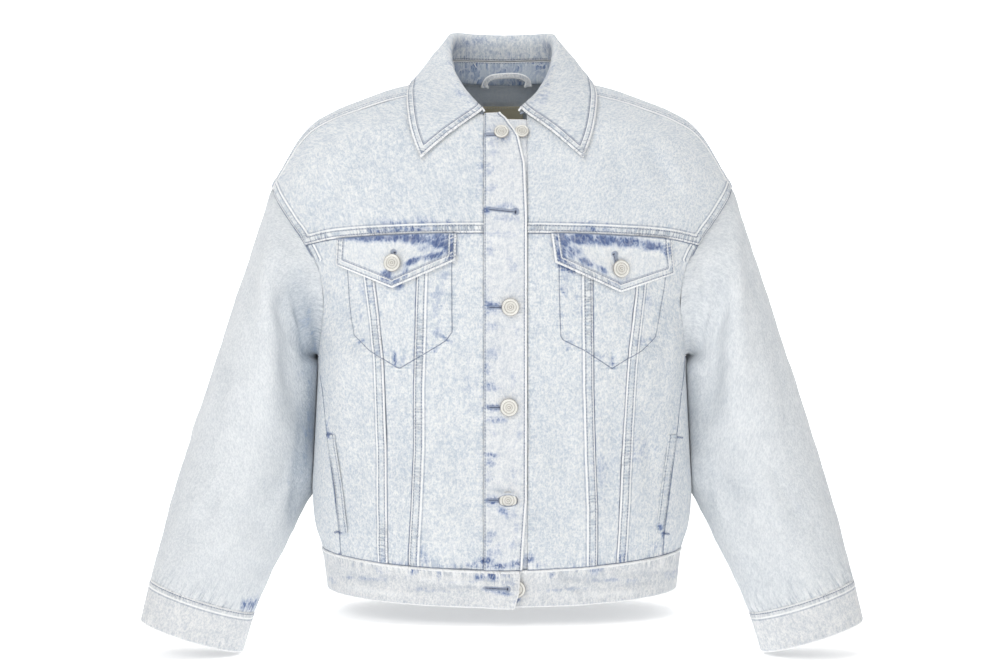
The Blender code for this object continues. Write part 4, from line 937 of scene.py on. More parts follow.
GREY_TINT = srgb(199, 204, 210)
DENIM = denim("denim", mottle=0.66)
FADED = denim("denim_faded", mottle=0.66, tone=srgb(241, 241, 240), shade=GREY_TINT)
PLACKET_DENIM = denim("denim_placket", mottle=0.6, tone=srgb(239, 240, 240), shade=srgb(196, 203, 212))
# The sleeves' shade colour is dark so that the painted shade in the valley beside the body comes out dark.
SLEEVE_DENIM = denim("denim_sleeve", mottle=0.27, tone=srgb(233, 236, 238), shade=srgb(154, 165, 177))
BLUE = denim("denim_blue", mottle=0.5, veined=0.35)
STAND_DENIM = denim("denim_stand", mottle=0.85, blue=0.55, veined=1.6)


WEAVE_SIZE = 0.5


def plain_cloth(name, pale, tint):
    """A flat woven cloth with crossing threads."""
    s = Shader(name)
    place, _ = s.attribute("cloth")
    ways = [s.node("ShaderNodeTexWave", {"Vector": place, "Scale": WEAVE_SIZE, "Distortion": 0.6},
                   wave_type="BANDS", bands_direction=way).outputs["Fac"] for way in ("X", "Y")]
    weave = s.product(*ways)
    cloudy = s.noise(place, (14, 14, 60), 4.0)
    s.bump(weave, 0.5, 0.3 * MM)
    share = s.math("ADD", s.product(weave, 0.35), s.product(cloudy, 0.5))
    return s.finish(s.mix(share, pale, tint), Roughness=0.9)


POCKETING = plain_cloth("pocketing", srgb(226, 225, 218), srgb(206, 205, 198))
LABEL = plain_cloth("label", srgb(206, 198, 172), srgb(176, 166, 140))


def thread(name, colour, shade):
    """Twisted cotton, a little uneven in colour."""
    s = Shader(name)
    place = s.node("ShaderNodeTexCoord").outputs["Object"]
    mixed = s.noise(place, (0.004, 0.004, 0.004), 2.0)
    return s.finish(s.mix(mixed, colour, shade), Roughness=0.7, Sheen_Weight=0.2)


PALE_THREAD = thread("thread_pale", srgb(232, 234, 235), srgb(190, 200, 214))
BLUE_THREAD = thread("thread_blue", srgb(96, 118, 160), srgb(66, 84, 124))
HOLE_THREAD = thread("thread_buttonhole", srgb(196, 206, 220), srgb(128, 144, 178))
# Dark threads that stand for the painted shade in the buttonholes' openings.
SLIT_SHADE = thread("buttonhole_slit_shade", srgb(58, 66, 92), srgb(40, 46, 66))


def enamel():
    """Pale enamelled metal, dulled and a little yellow where it is pitted, with painted shade in its grooves
    and round its rim.
    """
    s = Shader("button_metal")
    place = s.node("ShaderNodeTexCoord").outputs["Object"]
    cloudy = s.noise(place, (0.005, 0.005, 0.005), 4.0)
    pits = s.noise(place, (0.0008, 0.0008, 0.0008), 3.0)
    colour = s.mix(cloudy, srgb(238, 238, 233), srgb(221, 219, 211))
    colour = s.mix(s.fall(pits, 0.72, 0.56), colour, srgb(190, 178, 158))
    _, (painted_hollow_shade, _, _) = s.attribute("painted_hollow_shade")
    s.bump(pits, 0.25, 0.1 * MM)
    # Painted shade: darker in the grooves and round the rim.
    return s.finish(s.mix(s.product(painted_hollow_shade, 0.7), colour, srgb(112, 100, 92)), Roughness=0.38, Metallic=0.35)


ENAMEL = enamel()

# Each cloth's material and its slot, its width and height in metres laid flat, its area in square metres
# where it isn't a rectangle, and the seed of its unevenness, from which the two sides differ by one.
Sheet = namedtuple("Sheet", "material slot flat area seed")
SHEETS = {
    "front_yoke": Sheet(DENIM, "denim", (0.26, 0.21), 0.035, 11),
    "front_centre": Sheet(DENIM, "denim", (0.09, 0.37), 0.028, 21),
    "front_dart": Sheet(DENIM, "denim", (0.06, 0.37), 0.0145, 31),
    "front_side": Sheet(DENIM, "denim", (0.12, 0.37), 0.033, 41),
    "side_panel": Sheet(DENIM, "denim", (0.17, 0.22), 0.028, 51),
    "back_yoke": Sheet(DENIM, "denim", (0.56, 0.31), 0.115, 61),
    "back_panel": Sheet(DENIM, "denim", (0.47, 0.38), 0.165, 71),
    "placket_right": Sheet(PLACKET_DENIM, "denim_faded", (0.044, 0.50), 0.021, 81),
    "placket_left": Sheet(PLACKET_DENIM, "denim_faded", (0.045, 0.50), 0.0215, 91),
    "waistband": Sheet(FADED, "denim_faded", (0.29, 0.044), 0.0122, 101),
    "waistband_back": Sheet(FADED, "denim_faded", (0.52, 0.044), 0.0225, 111),
    "sleeve": Sheet(SLEEVE_DENIM, "denim", (0.52, 0.47), 0.19, 121),
    "cuff": Sheet(FADED, "denim_faded", (0.28, 0.046), 0.0122, 131),
    "collar_stand": Sheet(STAND_DENIM, "denim_blue", (0.44, 0.045), 0.0089, 141),
    "collar_leaf": Sheet(DENIM, "denim", (0.56, 0.11), 0.045, 151),
    "pocket_flap": Sheet(BLUE, "denim_blue", (0.13, 0.058), 0.0062, 161),
    "pocket_bag": Sheet(POCKETING, "pocketing", (0.115, 0.14), 0.0145, 171),
    "pocket_welt": Sheet(DENIM, "denim", (0.0115, 0.107), None, 181),
    "hang_loop": Sheet(FADED, "denim_faded", (0.09, 0.018), 0.0007, 191),
    "neck_label": Sheet(LABEL, "label", (0.048, 0.036), None, 201),
}

# ---------------------------------------------------------------- where the wash left indigo

# Patches seen from in front: their places (x, z), half sizes, strengths and how far they lean, in degrees.
Patch = namedtuple("Patch", "x z wide tall strength lean")
PATCHES = (
    (-158, -173, 18, 3.5, 1.0, 2), (-135, -174, 18, 4.5, 1.15, 1), (-112, -174, 16, 5.5, 1.2, 0),
    (-90, -176, 16, 6.0, 1.2, 0), (-66, -177, 14, 8.5, 1.25, 0), (-54, -186, 6.5, 13, 1.25, 0),
    (-71, -194, 13, 3.6, 1.15, 15), (-93, -199.5, 9.5, 3.4, 1.15, 25), (-80, -186, 12, 4, 0.6, -10),
    (-120, -216, 7, 9, 1.1, 0), (-110, -222, 6, 7, 1.0, 0), (-101, -213, 4, 7, 1.05, -10),
    (-118, -158, 18, 4.5, 0.62, 0), (-82, -157, 16, 5, 0.66, 0), (-60, -160, 10, 4, 0.6, 0),
    (-120, -167, 22, 4, 0.85, 2), (-88, -166, 16, 4, 0.9, 0), (96, -167, 22, 4, 0.75, -2),
    (64, -178, 10, 8, 1.2, 0), (84, -176, 16, 6.5, 1.25, 0), (108, -177, 16, 6.5, 1.2, -2),
    (134, -179, 18, 6.0, 1.15, -4), (158, -182, 16, 5.5, 1.15, -6), (174, -186, 7, 7, 1.0, 0),
    (63, -195, 6, 14, 1.2, 0), (74, -190, 9, 8, 1.05, 0), (88, -201, 11, 4.2, 1.15, -28),
    (104, -208, 8, 3.2, 0.95, -28), (72, -207, 9, 5, 1.05, -25), (118, -222, 7, 5, 0.8, 0),
    (132, -220, 6, 5, 0.6, 20), (88, -160, 16, 5, 0.62, 0), (112, -160, 10, 4, 0.55, 0),
    (140, -161, 8, 4, 0.55, 0), (-3, -64, 15, 8, 0.66, 0), (-12, -78, 8, 14, 0.5, 0),
    (-17, -146, 5, 4, 1.0, 0), (2, -143, 17, 5, 0.62, 0), (2, -154, 15, 3.5, 0.62, 0),
    (0, -171, 20, 4, 0.6, 0), (-10, -246, 9, 4.5, 0.95, 0), (-8, -253, 10, 3, 0.8, 10),
    (-12, -270, 8, 6, 0.55, 0), (-10, -296, 9, 6, 0.5, -20), (-14, -222, 6, 9, 0.5, 0),
    (-12, -332, 9, 5, 0.75, 0), (-9, -353, 9, 3.5, 1.05, 0), (-6, -366, 10, 3, 0.9, 0),
    (-12, -380, 7, 4, 0.5, 0), (-13, -403, 8, 3, 0.95, -8), (-12, -411, 6, 4, 0.75, -20),
    (-10, -450, 7, 5, 1.15, 0), (2, -462, 9, 4, 0.8, -25), (8, -466, 7, 5, 0.6, 0),
    (-10, -485, 5, 4, 0.6, 0), (-8, -505, 7, 6, 0.7, 20), (-16, -516, 9, 6, 1.05, 20),
    (0, -519, 12, 3.5, 1.0, 0), (14, -517, 8, 4, 1.1, 10), (-30, -519, 12, 3, 0.85, 0),
    (-6, -530, 13, 5, 0.85, 0), (-22, -531, 8, 4, 0.75, 30), (4, -537, 8, 4, 0.6, 0),
    (-6, -546, 13, 3, 0.85, -5), (2, -549, 12, 2.5, 0.6, 0), (28, -515, 7, 7, 1.0, 10),
    (38, -519, 9, 3, 0.8, 0), (-60, -521, 20, 2.5, 0.62, 0), (-84, -514, 10, 8, 0.62, 0),
    (-92, -525, 8, 5, 0.7, 20), (-126, -511, 7, 7, 0.6, 0), (-110, -520, 10, 3, 0.7, 0),
    (-186, -506, 7, 9, 0.6, 0), (92, -516, 10, 7, 0.75, 0), (100, -525, 7, 5, 0.8, 25),
    (126, -512, 7, 8, 0.8, 10), (78, -522, 10, 3, 0.6, 0), (165, -506, 8, 8, 0.5, 0),
    (-187, -386, 4, 3.5, 1.2, 0), (-189, -375, 3, 9, 0.6, -10), (-175, -490, 4, 3.5, 1.2, 0),
    (-179, -483, 3, 7, 0.7, 40), (195, -388, 4, 4, 1.2, 0), (189, -380, 6, 2.5, 0.7, -50),
    (176, -492, 4.5, 4, 1.2, 0), (170, -484, 7, 2.5, 0.75, -45), (183, -486, 6, 2.5, 0.7, 45),
    (-60, -281, 9, 3, 0.95, -35), (-66, -275, 6, 5, 0.6, 0), (-112, -304, 3, 7, 0.9, 8),
    (-104, -305, 2.5, 5, 0.85, -20), (-70, -292, 4, 4, 0.7, 0), (117, -306, 3, 6, 0.85, 0),
    (108, -300, 8, 3, 0.6, 30), (-150, -284, 5, 2.5, 0.6, 30), (-20, -100, 5, 28, 0.4, 0),
    (-70, -240, 5, 20, 0.5, 0), (-140, -235, 8, 14, 0.45, 0), (148, -252, 10, 14, 0.4, 0),
    (80, -240, 6, 18, 0.42, 0), (104, -418, 12, 20, 0.42, 0), (146, -398, 16, 16, 0.42, 0),
    (-30, -330, 12, 18, 0.3, 0), (-14, -100, 6, 8, 0.55, 0), (-12, -122, 7, 5, 0.5, 20),
    (12, -108, 4, 14, 0.42, 0), (-13, -186, 6, 9, 0.55, 0), (11, -200, 6, 10, 0.44, 0),
    (-14, -236, 5, 6, 0.5, 0), (15, -282, 4, 12, 0.46, 0), (-15, -312, 5, 7, 0.6, 10),
    (13, -322, 4, 11, 0.46, 0), (14, -386, 5, 12, 0.46, 0), (-15, -427, 5, 7, 0.6, -10),
    (13, -424, 5, 9, 0.46, 0), (15, -480, 4, 13, 0.5, 0), (6, -496, 9, 5, 0.48, 10),
    (-15, -494, 5, 5, 0.6, 0), (16, -556, 5, 3, 1.0, 50), (-147, -226, 6, 12, 0.46, 0),
    (-149, -256, 4, 14, 0.44, 0), (-60, -216, 4, 15, 0.5, 0), (-63, -256, 5, 12, 0.5, 0),
    (-127, -296, 8, 4, 0.5, -30), (-86, -293, 9, 4, 0.55, 30), (65, -226, 5, 14, 0.5, 0),
    (63, -262, 5, 12, 0.48, 0), (70, -286, 6, 7, 0.55, -20), (96, -298, 9, 4, 0.55, -30),
    (148, -284, 9, 5, 0.55, 30), (156, -236, 4, 14, 0.44, 0), (-46, -172, 16, 3, 0.5, 0),
    (44, -173, 14, 3, 0.5, 0), (-150, -538, 32, 1.8, 0.5, 3), (-72, -547, 26, 1.8, 0.5, -3),
    (62, -546, 26, 1.8, 0.5, 4), (130, -538, 28, 1.8, 0.5, -2), (-184, -545, 9, 4, 0.46, 0),
    (-40, -537, 18, 1.6, 0.6, 2), (186, -538, 9, 5, 0.46, 0), (-130, -528, 4, 5, 0.55, 0),
    (-66, -529, 3, 6, 0.55, 0), (52, -529, 4, 5, 0.6, 0),
)
PATCH_EDGE = 1.5  # how abruptly a patch ends

# ---------------------------------------------------------------- folds

# Soft folds seen from in front: both ends as (x, z), the half width and the depth; negative depths stand up.
FRONT_FOLDS = (
    (-196, -222, -150, -300, 9, 2.6), (-186, -250, -168, -350, 7, -1.6), (198, -225, 152, -310, 9, 2.6),
    (188, -255, 172, -360, 7, -1.6), (-62, -320, -44, -470, 11, 1.8), (-78, -300, -72, -420, 8, -1.2),
    (64, -300, 50, -470, 11, 1.8), (80, -330, 72, -470, 8, -1.2), (-150, -320, -160, -470, 10, 1.7),
    (152, -330, 160, -480, 10, 1.7), (-108, -330, -110, -480, 8, 1.2), (116, -330, 112, -480, 8, 1.2),
    (-150, -62, -190, -140, 10, 1.8), (-176, -78, -206, -132, 8, -1.4), (150, -62, 190, -140, 10, 1.8),
    (176, -78, 206, -132, 8, -1.4), (-70, -80, -44, -160, 11, 1.4), (72, -80, 46, -160, 11, 1.4),
    (-120, -66, -128, -160, 12, 1.2), (118, -66, 128, -160, 12, 1.2), (-34, -300, -40, -380, 7, 1.0),
    (38, -420, 36, -505, 7, 1.3), (-186, -400, -176, -500, 7, 1.6), (186, -400, 176, -500, 7, 1.6),
    (-52, -505, -30, -545, 6, 1.1), (40, -512, 90, -552, 6, 1.2), (-96, -522, -150, -550, 6, 1.2),
    (110, -520, 165, -545, 6, 1.2), (60, -532, 130, -540, 4, 0.9), (-150, -530, -60, -542, 4, 0.9),
    (-190, -529, -120, -541, 3, 0.8), (-110, -546, -30, -542, 3, 0.8), (-170, -548, -90, -553, 3, -0.7),
    (34, -538, 96, -549, 3, 0.8), (70, -551, 160, -552, 3, -0.7), (120, -531, 190, -535, 3, 0.8),
    (-14, -438.5, 14, -441, 2.2, 1.4), (-60, -536, -20, -538, 3, -0.7), (-119, -288, -113, -308, 2.2, 1.3),
    (-103, -286, -108, -308, 2.2, 1.2), (-111, -284, -111, -305, 2.0, -1.1),
    (-70, -272, -57, -284, 2.2, 1.2), (-66, -282, -58, -288, 2.0, -0.9), (-152, -280, -144, -288, 2.0, 1.0),
    (112, -290, 117, -308, 2.2, 1.2), (124, -288, 119, -308, 2.2, -1.0), (166, -272, 156, -284, 2.0, 1.0),
    (-113, -190, -109, -174, 2.0, -1.2), (-105, -190, -95, -175, 1.9, -1.0),
    (-122, -191, -131, -176, 1.9, -0.9), (117, -194, 116, -179, 2.0, -1.1),
    (124, -195, 133, -181, 1.9, -0.9), (108, -196, 98, -180, 1.9, -0.9), (-118, -157, -116, -169, 1.7, 1.0),
    (-108, -156, -109, -169, 1.7, 1.0), (-88, -156, -90, -169, 1.7, 1.0), (-80, -155, -78, -168, 1.7, -0.8),
    (100, -156, 101, -169, 1.7, 0.9), (126, -157, 124, -169, 1.7, 0.9), (-56, -523, -58, -533, 2.0, 1.0),
    (-84, -523, -82, -532, 2.0, 1.0), (-140, -520, -138, -530, 2.0, 0.9), (62, -523, 60, -534, 2.0, 1.0),
    (104, -522, 106, -533, 2.0, 1.0), (160, -518, 158, -528, 2.0, 0.9), (-34, -532, 0, -537, 2.2, 1.0),
    (-40, -541, -16, -548, 2.2, 1.0), (48, -534, 86, -536, 2.2, 0.9), (-180, -537, -130, -541, 2.2, 0.9),
    (-100, -536, -62, -534, 2.2, -0.8), (110, -545, 170, -541, 2.2, 0.9),
)
# And on the back, mostly hidden here: the same kinds of fold.
BACK_FOLDS = (
    (-188, -215, -120, -300, 13, 3.0), (188, -215, 120, -300, 13, 3.0), (-60, -180, -70, -380, 15, 1.8),
    (62, -190, 74, -400, 15, 1.8), (0, -260, 6, -480, 16, 2.0), (-130, -330, -140, -490, 12, 2.0),
    (132, -330, 142, -490, 12, 2.0), (-170, -260, -176, -420, 9, -1.8), (170, -260, 176, -420, 9, -1.8),
    (-36, -380, -30, -500, 10, -1.4), (40, -380, 36, -500, 10, -1.4), (-90, -60, -70, -140, 16, 1.2),
    (90, -60, 70, -140, 16, 1.2),
)
# Folds of a sleeve: both ends as (ring, degrees from the outer side round the front), half width, depth.
SLEEVE_CREASES = (
    (0.35, 88, 2.2, 118, 10, 4.5), (1.6, 120, 5.0, 152, 11, 4.0), (0.5, 60, 2.6, 84, 12, -2.4),
    (0.7, 40, 3.0, 62, 13, 1.8), (2.6, 96, 5.2, 118, 9, -2.0), (3.4, 44, 5.6, 62, 12, 1.8),
    (4.8, 140, 7.2, 116, 9, 3.2), (5.4, 150, 6.6, 96, 8, 2.2), (5.8, 84, 7.6, 66, 8, 1.8),
    (6.4, 126, 7.9, 88, 7, -1.6), (6.0, 20, 7.6, 40, 9, 1.5), (7.0, 50, 7.95, 72, 6, 1.4),
    (0.4, 268, 2.4, 236, 12, 3.6), (1.8, 238, 5.0, 214, 12, 3.4), (0.8, 300, 3.4, 280, 14, -2.2),
    (3.0, 262, 5.6, 246, 11, 2.2), (5.2, 222, 7.4, 252, 10, 3.0), (6.0, 290, 7.7, 270, 9, 1.8),
    (2.0, 336, 4.6, 322, 14, 1.6), (7.0, 320, 7.95, 300, 7, 1.5),
)

FOLD_BOW, BACK_FOLD_BOW = 3, 5  # how far a fold's middle bows to the wearer's left


def crease_by(cloth, folds, bow):
    """Folds cloth along lines seen from in front or behind."""
    for x0, z0, x1, z1, half_width, depth in folds:
        tint = WIDE_TINT if half_width > NARROW_FOLD else NARROW_TINT
        cloth.fold([(x0, z0), ((x0 + x1) / 2 + bow, (z0 + z1) / 2), (x1, z1)], half_width, depth, tint)


def stain(cloth):
    """Folds cloth that is seen from in front, and marks its patches of indigo."""
    crease_by(cloth, FRONT_FOLDS, FOLD_BOW)
    x, z = cloth.points[..., 0], cloth.points[..., 2]
    total = np.zeros(cloth.lift.shape)
    for patch in (Patch(*row) for row in PATCHES):
        lean = math.radians(patch.lean)
        along = (x - patch.x) * math.cos(lean) + (z - patch.z) * math.sin(lean)
        across = (z - patch.z) * math.cos(lean) - (x - patch.x) * math.sin(lean)
        away = (along / patch.wide) ** 2 + (across / patch.tall) ** 2
        total = np.maximum(total, patch.strength * np.exp(-(away**PATCH_EDGE) / 2))
    cloth.mark_most("indigo", total)


# ---------------------------------------------------------------- body panels

FINE, MEDIUM, COARSE = 2.1, 2.6, 3.8  # how far apart the rows of the cloth are


def upright(x):
    """A seam that stays at one distance from the centre."""
    return lambda z: np.full(np.shape(z), float(x))


def at_seam(x_of_z, side):
    """Where a seam cuts the rings, as a function from rings to angles."""
    return lambda rows: angle_at(rows, x_of_z, side)


def placket_side(side):
    """The seam between a placket and the front beside it."""
    return at_seam(upright(PLACKET_X[side]), side)


def sleeve_seam(side):
    """The armhole on one side, as a function from rings to angles."""
    return lambda rows: side * armhole(rows)


def seed_of(kind, side=0):
    """The seed of a cloth's unevenness."""
    return SHEETS[kind].seed + side


threads = []
POCKET_RISE = 0.5
POCKET_RISE_START, POCKET_RISE_END = 1.0, -1.5
POCKET_PULL, POCKET_PULL_REACH, POCKET_PULL_TOP = 0.9, 5, -205  # puckers beside its stitches, below the flap


def stitch_rows(cloth, sides, *distances):
    """Notes rows of stitches along sides of a cloth."""
    for side in sides:
        threads.extend(cloth.line(side, distance) for distance in distances)


def pocket_outline(side):
    """The corners of the stitched outline of the chest pocket, from its inner top to its outer top."""
    if side < 0:
        return np.array([(-52.7, -190), (-52.7, -218), (-52.1, -273.8), (-59, -283.3), (-88.9, -301.2),
                         (-107.5, -312), (-111.3, -311), (-139.7, -293.8), (-159.1, -277), (-161.5, -260),
                         (-163.3, -229.5), (-165.8, -190)])
    return np.array([(60.1, -190), (60.6, -242.2), (61.9, -278), (64.3, -282.2), (84.8, -292.2),
                     (107.5, -306.5), (116.2, -312.5), (133.2, -302.2), (148.9, -293.8), (165.9, -279.1),
                     (168.3, -260.1), (173.9, -222.7), (176, -190)])


def distance_inside(points, outline, side):
    """How far points (x, z) are from a line of corners: below nought on its inner side."""
    x, z = points[..., 0], points[..., 2]
    least, inside = np.full(x.shape, 1e9), np.zeros(x.shape, bool)
    for (x0, z0), (x1, z1) in zip(outline[:-1], outline[1:]):
        length = (x1 - x0) ** 2 + (z1 - z0) ** 2
        share = np.clip(((x - x0) * (x1 - x0) + (z - z0) * (z1 - z0)) / length, 0, 1)
        away = np.hypot(x - x0 - share * (x1 - x0), z - z0 - share * (z1 - z0))
        within = ((x1 - x0) * (z - z0) - (z1 - z0) * (x - x0)) * side > 0
        inside = np.where(away < least, within, inside)
        least = np.minimum(least, away)
    return np.where(inside, -least, least)


def pocketed(cloth, side):
    """The patch of the chest pocket behind the cloth: its stitched outline, raised a little inside it."""
    inside = distance_inside(cloth.points, pocket_outline(side), side)
    cloth.marks["pocket"] = inside
    cloth.lift += POCKET_RISE * eased(inside, POCKET_RISE_START, POCKET_RISE_END)
    near = np.exp(-np.abs(inside) / POCKET_PULL_REACH) * (cloth.points[..., 2] < POCKET_PULL_TOP)
    cloth.mark_most("pulled_in", POCKET_PULL * near)


FELLED_ROWS = FELLED.first, FELLED.second
YOKE_ROWS = YOKE_FELLED.first, YOKE_FELLED.second
TURNED_ROWS = TURNED.first, TURNED.second
# How many columns of points the pieces have.
YOKE_COLUMNS, CENTRE_COLUMNS, DART_COLUMNS, SIDE_COLUMNS = 86, 38, 24, 44
GUSSET_COLUMNS, BACK_YOKE_COLUMNS, BACK_COLUMNS = 14, 66, 120
PLACKET_COLUMNS, UNDERLAP_COLUMNS, BAND_COLUMNS, BAND_BACK_COLUMNS = 34, 22, 130, 190
YOKE_ARMHOLE = 175  # how far up its edge the front yoke is sewn to the sleeve with a felled seam
ARMHOLE_BAND = 22  # how far the armhole's stitched band goes on below the yoke


def front_yoke(side):
    """The front yoke, from the armhole and the shoulder to the neck and the placket."""
    rows = rings(ROW["front yoke"], SHOULDER_ROW, MEDIUM)

    def inner(row):
        neck = np.where(row > NECK_ROW, np.interp(row, NECK_ROWS, NECK_ANGLES), 0)
        return side * np.maximum(neck, np.abs(placket_side(side)(row)))

    cloth = cloth_between(rows, inner, sleeve_seam(side), YOKE_COLUMNS, seed_of("front_yoke", side))
    cloth.inset(SEAM_GAP / 2)
    stain(cloth)
    cloth.sew("low", YOKE_FELLED).sew("out", FELLED, 0, YOKE_ARMHOLE).sew("high", DITCH).sew("in", PLAIN)
    cloth.crease()
    wall("front_yoke", cloth, side=side)
    stitch_rows(cloth, ["low"], *YOKE_ROWS)
    stitch_rows(cloth, ["out"], *FELLED_ROWS)


def front_strip(kind, inner, outer, columns, side):
    """One of the three panels between the front yoke and the band, with its part of the pocket, unsewn."""
    rows = rings(ROW["front band"], ROW["front yoke"], FINE)
    cloth = cloth_between(rows, inner, outer, columns, seed_of(kind, side))
    cloth.inset(SEAM_GAP / 2)
    stain(cloth)
    pocketed(cloth, side)
    return cloth


def front_panels(side):
    """The panels from the placket to the side: a centre, a narrow dart and a side panel."""
    inner_seam, outer_seam = (at_seam(table_x(seam[side]), side) for seam in (INNER_SEAM, OUTER_SEAM))

    def side_edge(row):
        below = angle_at(row, table_x(SIDE_SEAM), side)
        return np.where(row >= ROW["front armpit"], side * armhole(row), below)

    centre = front_strip("front_centre", placket_side(side), inner_seam, CENTRE_COLUMNS, side)
    centre.sew("out", FELLED).sew("in", PLAIN).sew("low", GATHERED).sew("high", DITCH).crease()
    wall("front_centre", centre, side=side)
    stitch_rows(centre, ["out"], *FELLED_ROWS)
    dart = front_strip("front_dart", inner_seam, outer_seam, DART_COLUMNS, side)
    dart.sew("out", DITCH).sew("in", DITCH).sew("low", GATHERED).sew("high", DITCH).crease()
    wall("front_dart", dart, side=side)
    flank = front_strip("front_side", outer_seam, side_edge, SIDE_COLUMNS, side)
    height = flank.along[-1, -1]
    flank.sew("out", FELLED, height - ARMHOLE_BAND, height + ARMHOLE_BAND)
    flank.sew("in", FELLED).sew("out", PLAIN).sew("low", GATHERED).sew("high", DITCH).crease()
    wall("front_side", flank, side=side)
    stitch_rows(flank, ["in"], *FELLED_ROWS)


def gusset(heights, side, columns):
    """Points and directions round the side of the body at heights, from pocket seam to back seam."""
    quarter = side * math.pi / 2
    share = np.linspace(0, 1, columns)
    points, normals = [], []
    for back, seam in ((False, SIDE_SEAM), (True, BACK_SIDE_SEAM)):
        row = ring_at_height(heights, back)
        start = angle_at(row, table_x(seam), side)
        angle = start[:, None] + (quarter - start[:, None]) * share
        row = np.repeat(row[:, None], columns, axis=1)
        points.append(torso(angle, row))
        normals.append(torso_normal(angle, row))
    normals[0][:, -1] = normals[1][:, -1] = unit(normals[0][:, -1] + normals[1][:, -1])
    return (np.concatenate([points[0], points[1][:, -2::-1]], axis=1),
            np.concatenate([normals[0], normals[1][:, -2::-1]], axis=1))


def side_panel(side):
    """The panel under the arm."""
    heights = torso_ring(rings(ROW["front band"], ROW["front armpit"], COARSE)).edge_z
    cloth = Cloth(*gusset(heights, side, GUSSET_COLUMNS), seed_of("side_panel", side))
    cloth.inset(SEAM_GAP / 2)
    cloth.sew("in", DITCH).sew("out", FELLED).sew("low", GATHERED).sew("high", DITCH)
    wall("side_panel", cloth, side=side)
    stitch_rows(cloth, ["out"], *FELLED_ROWS)


YOKE_WAVE, YOKE_WAVE_LENGTH, YOKE_WAVE_SEED = 0.3, 40, 5
NAPE_MARGIN = 0.01


def back_yoke():
    """The yoke over both shoulders and across the back, as two halves that share the centre."""
    halves = []
    rows = np.concatenate([rings(SHOULDER_ROW, NAPE_ROW, COARSE),
                           rings(NAPE_ROW, ROW["back yoke"], COARSE)[1:]])
    for side in (1, -1):

        def inner(row):
            return side * np.where(row < NAPE_ROW - NAPE_MARGIN, np.interp(row, NECK_ROWS, NECK_ANGLES), 0)

        cloth = cloth_between(rows, inner, sleeve_seam(side), BACK_YOKE_COLUMNS, seed_of("back_yoke"))
        cloth.inset(SEAM_GAP / 2, ("low", "high", "out"))
        cloth.sew("low", FELLED).sew("out", FELLED).sew("high", YOKE_FELLED)
        x, y = cloth.points[..., 0], cloth.points[..., 1]
        cloth.lift += YOKE_WAVE * waves(x, y, YOKE_WAVE_LENGTH, YOKE_WAVE_SEED)
        halves.append(cloth)
    wall("back_yoke", halves)
    for cloth in halves:
        stitch_rows(cloth, ["low", "out"], *FELLED_ROWS)
        stitch_rows(cloth, ["high"], *YOKE_ROWS)


def back_panel():
    """The plain panel below the back yoke."""
    rows = rings(ROW["back yoke"], ROW["back band"], COARSE)

    def edge(side):
        def angle(row):
            below = angle_at(row, table_x(BACK_SIDE_SEAM), side)
            return np.where(row <= ROW["back armpit"], side * armhole(row), below)
        return angle

    cloth = cloth_between(rows, edge(-1), edge(1), BACK_COLUMNS, seed_of("back_panel"))
    cloth.inset(SEAM_GAP / 2)
    crease_by(cloth, BACK_FOLDS, BACK_FOLD_BOW)
    cloth.sew("in", DITCH).sew("out", DITCH).sew("low", DITCH).sew("high", GATHERED).crease()
    wall("back_panel", cloth)


# ---------------------------------------------------------------- plackets and waistband


# Buttonholes: the closed end and the eye, as (x, z), and the eye's radius.
PLACKET_HOLES = (
    ((-18.3, -64.3), (-1, -63.5), 1.2), ((-13.8, -144.5), (14.5, -147.3), 2.0),
    ((-13.7, -248), (6, -248), 1.2), ((-13.7, -353), (5, -353), 1.2), ((-14.7, -450), (4, -450), 1.2),
)
BAND_HOLE = ((-17.9, -543.2), (6, -543.7), 1.6)
FLAP_HOLES = {-1: ((-113.3, -201), (-113.3, -189.5), 1.3), 1: ((121.5, -206), (118.2, -191.5), 1.3)}
LAP_REACH = 2.0  # how far the folded edge stands out over the seam under it
LIP_HEIGHT, LIP_WIDTH = 7.4, 3.2
OPEN_HEIGHT, OPEN_LENGTH = 5.6, 10.4  # half sizes of the opening that the button shows through
# Across a lip: where its painted shadow lies, where it is highest and between which places it rises.
LIP_DARK, LIP_CREST, LIP_START, LIP_END = 0.2, 1.2, -0.7, 0.3
# The placket's rows lie closer together this far from the button: how many, and the gap beside them.
LIP_REACH, LIP_ROWS, LIP_MARGIN = 13.0, 66, 0.4
PLACKET_SPACING, UNDERLAP_SPACING = 1.6, 2.2
PLACKET_STITCH = 1.4
BAND_STITCH = 2.5
BAND_SPACING, BAND_BACK_SPACING = 2.0, 2.5


def lips(cloth):
    """How far the buttonhole's two edges are pushed up by the button that is half through it."""
    low = Button(*BUTTONS["button_low"])
    across = np.abs(cloth.points[..., 2] - low.z)
    opening = np.sqrt(np.maximum(1 - ((cloth.points[..., 0] - low.x) / OPEN_LENGTH) ** 2, 0))
    past = across - OPEN_HEIGHT * opening
    # Painted shadow along the lips' edges, where they open over the button.
    cloth.mark_least("dark", np.where(opening > 0, np.abs(past + LIP_DARK), FAR))
    crest = np.exp(-(((past - LIP_CREST) / LIP_WIDTH) ** 2))
    return LIP_HEIGHT * crest * eased(past, LIP_START, LIP_END) * opening**0.5


def placket_rows():
    """The top placket's rows, closer together at the button that is half through its hole."""
    low = Button(*BUTTONS["button_low"])
    near = np.linspace(-LIP_REACH, LIP_REACH, LIP_ROWS) + spot_on_front(low.x, low.z)[1]
    rows = rings(ROW["front band"], NECK_ROW, PLACKET_SPACING)
    return np.concatenate([rows[rows < near[0] - LIP_MARGIN], near, rows[rows > near[-1] + LIP_MARGIN]])


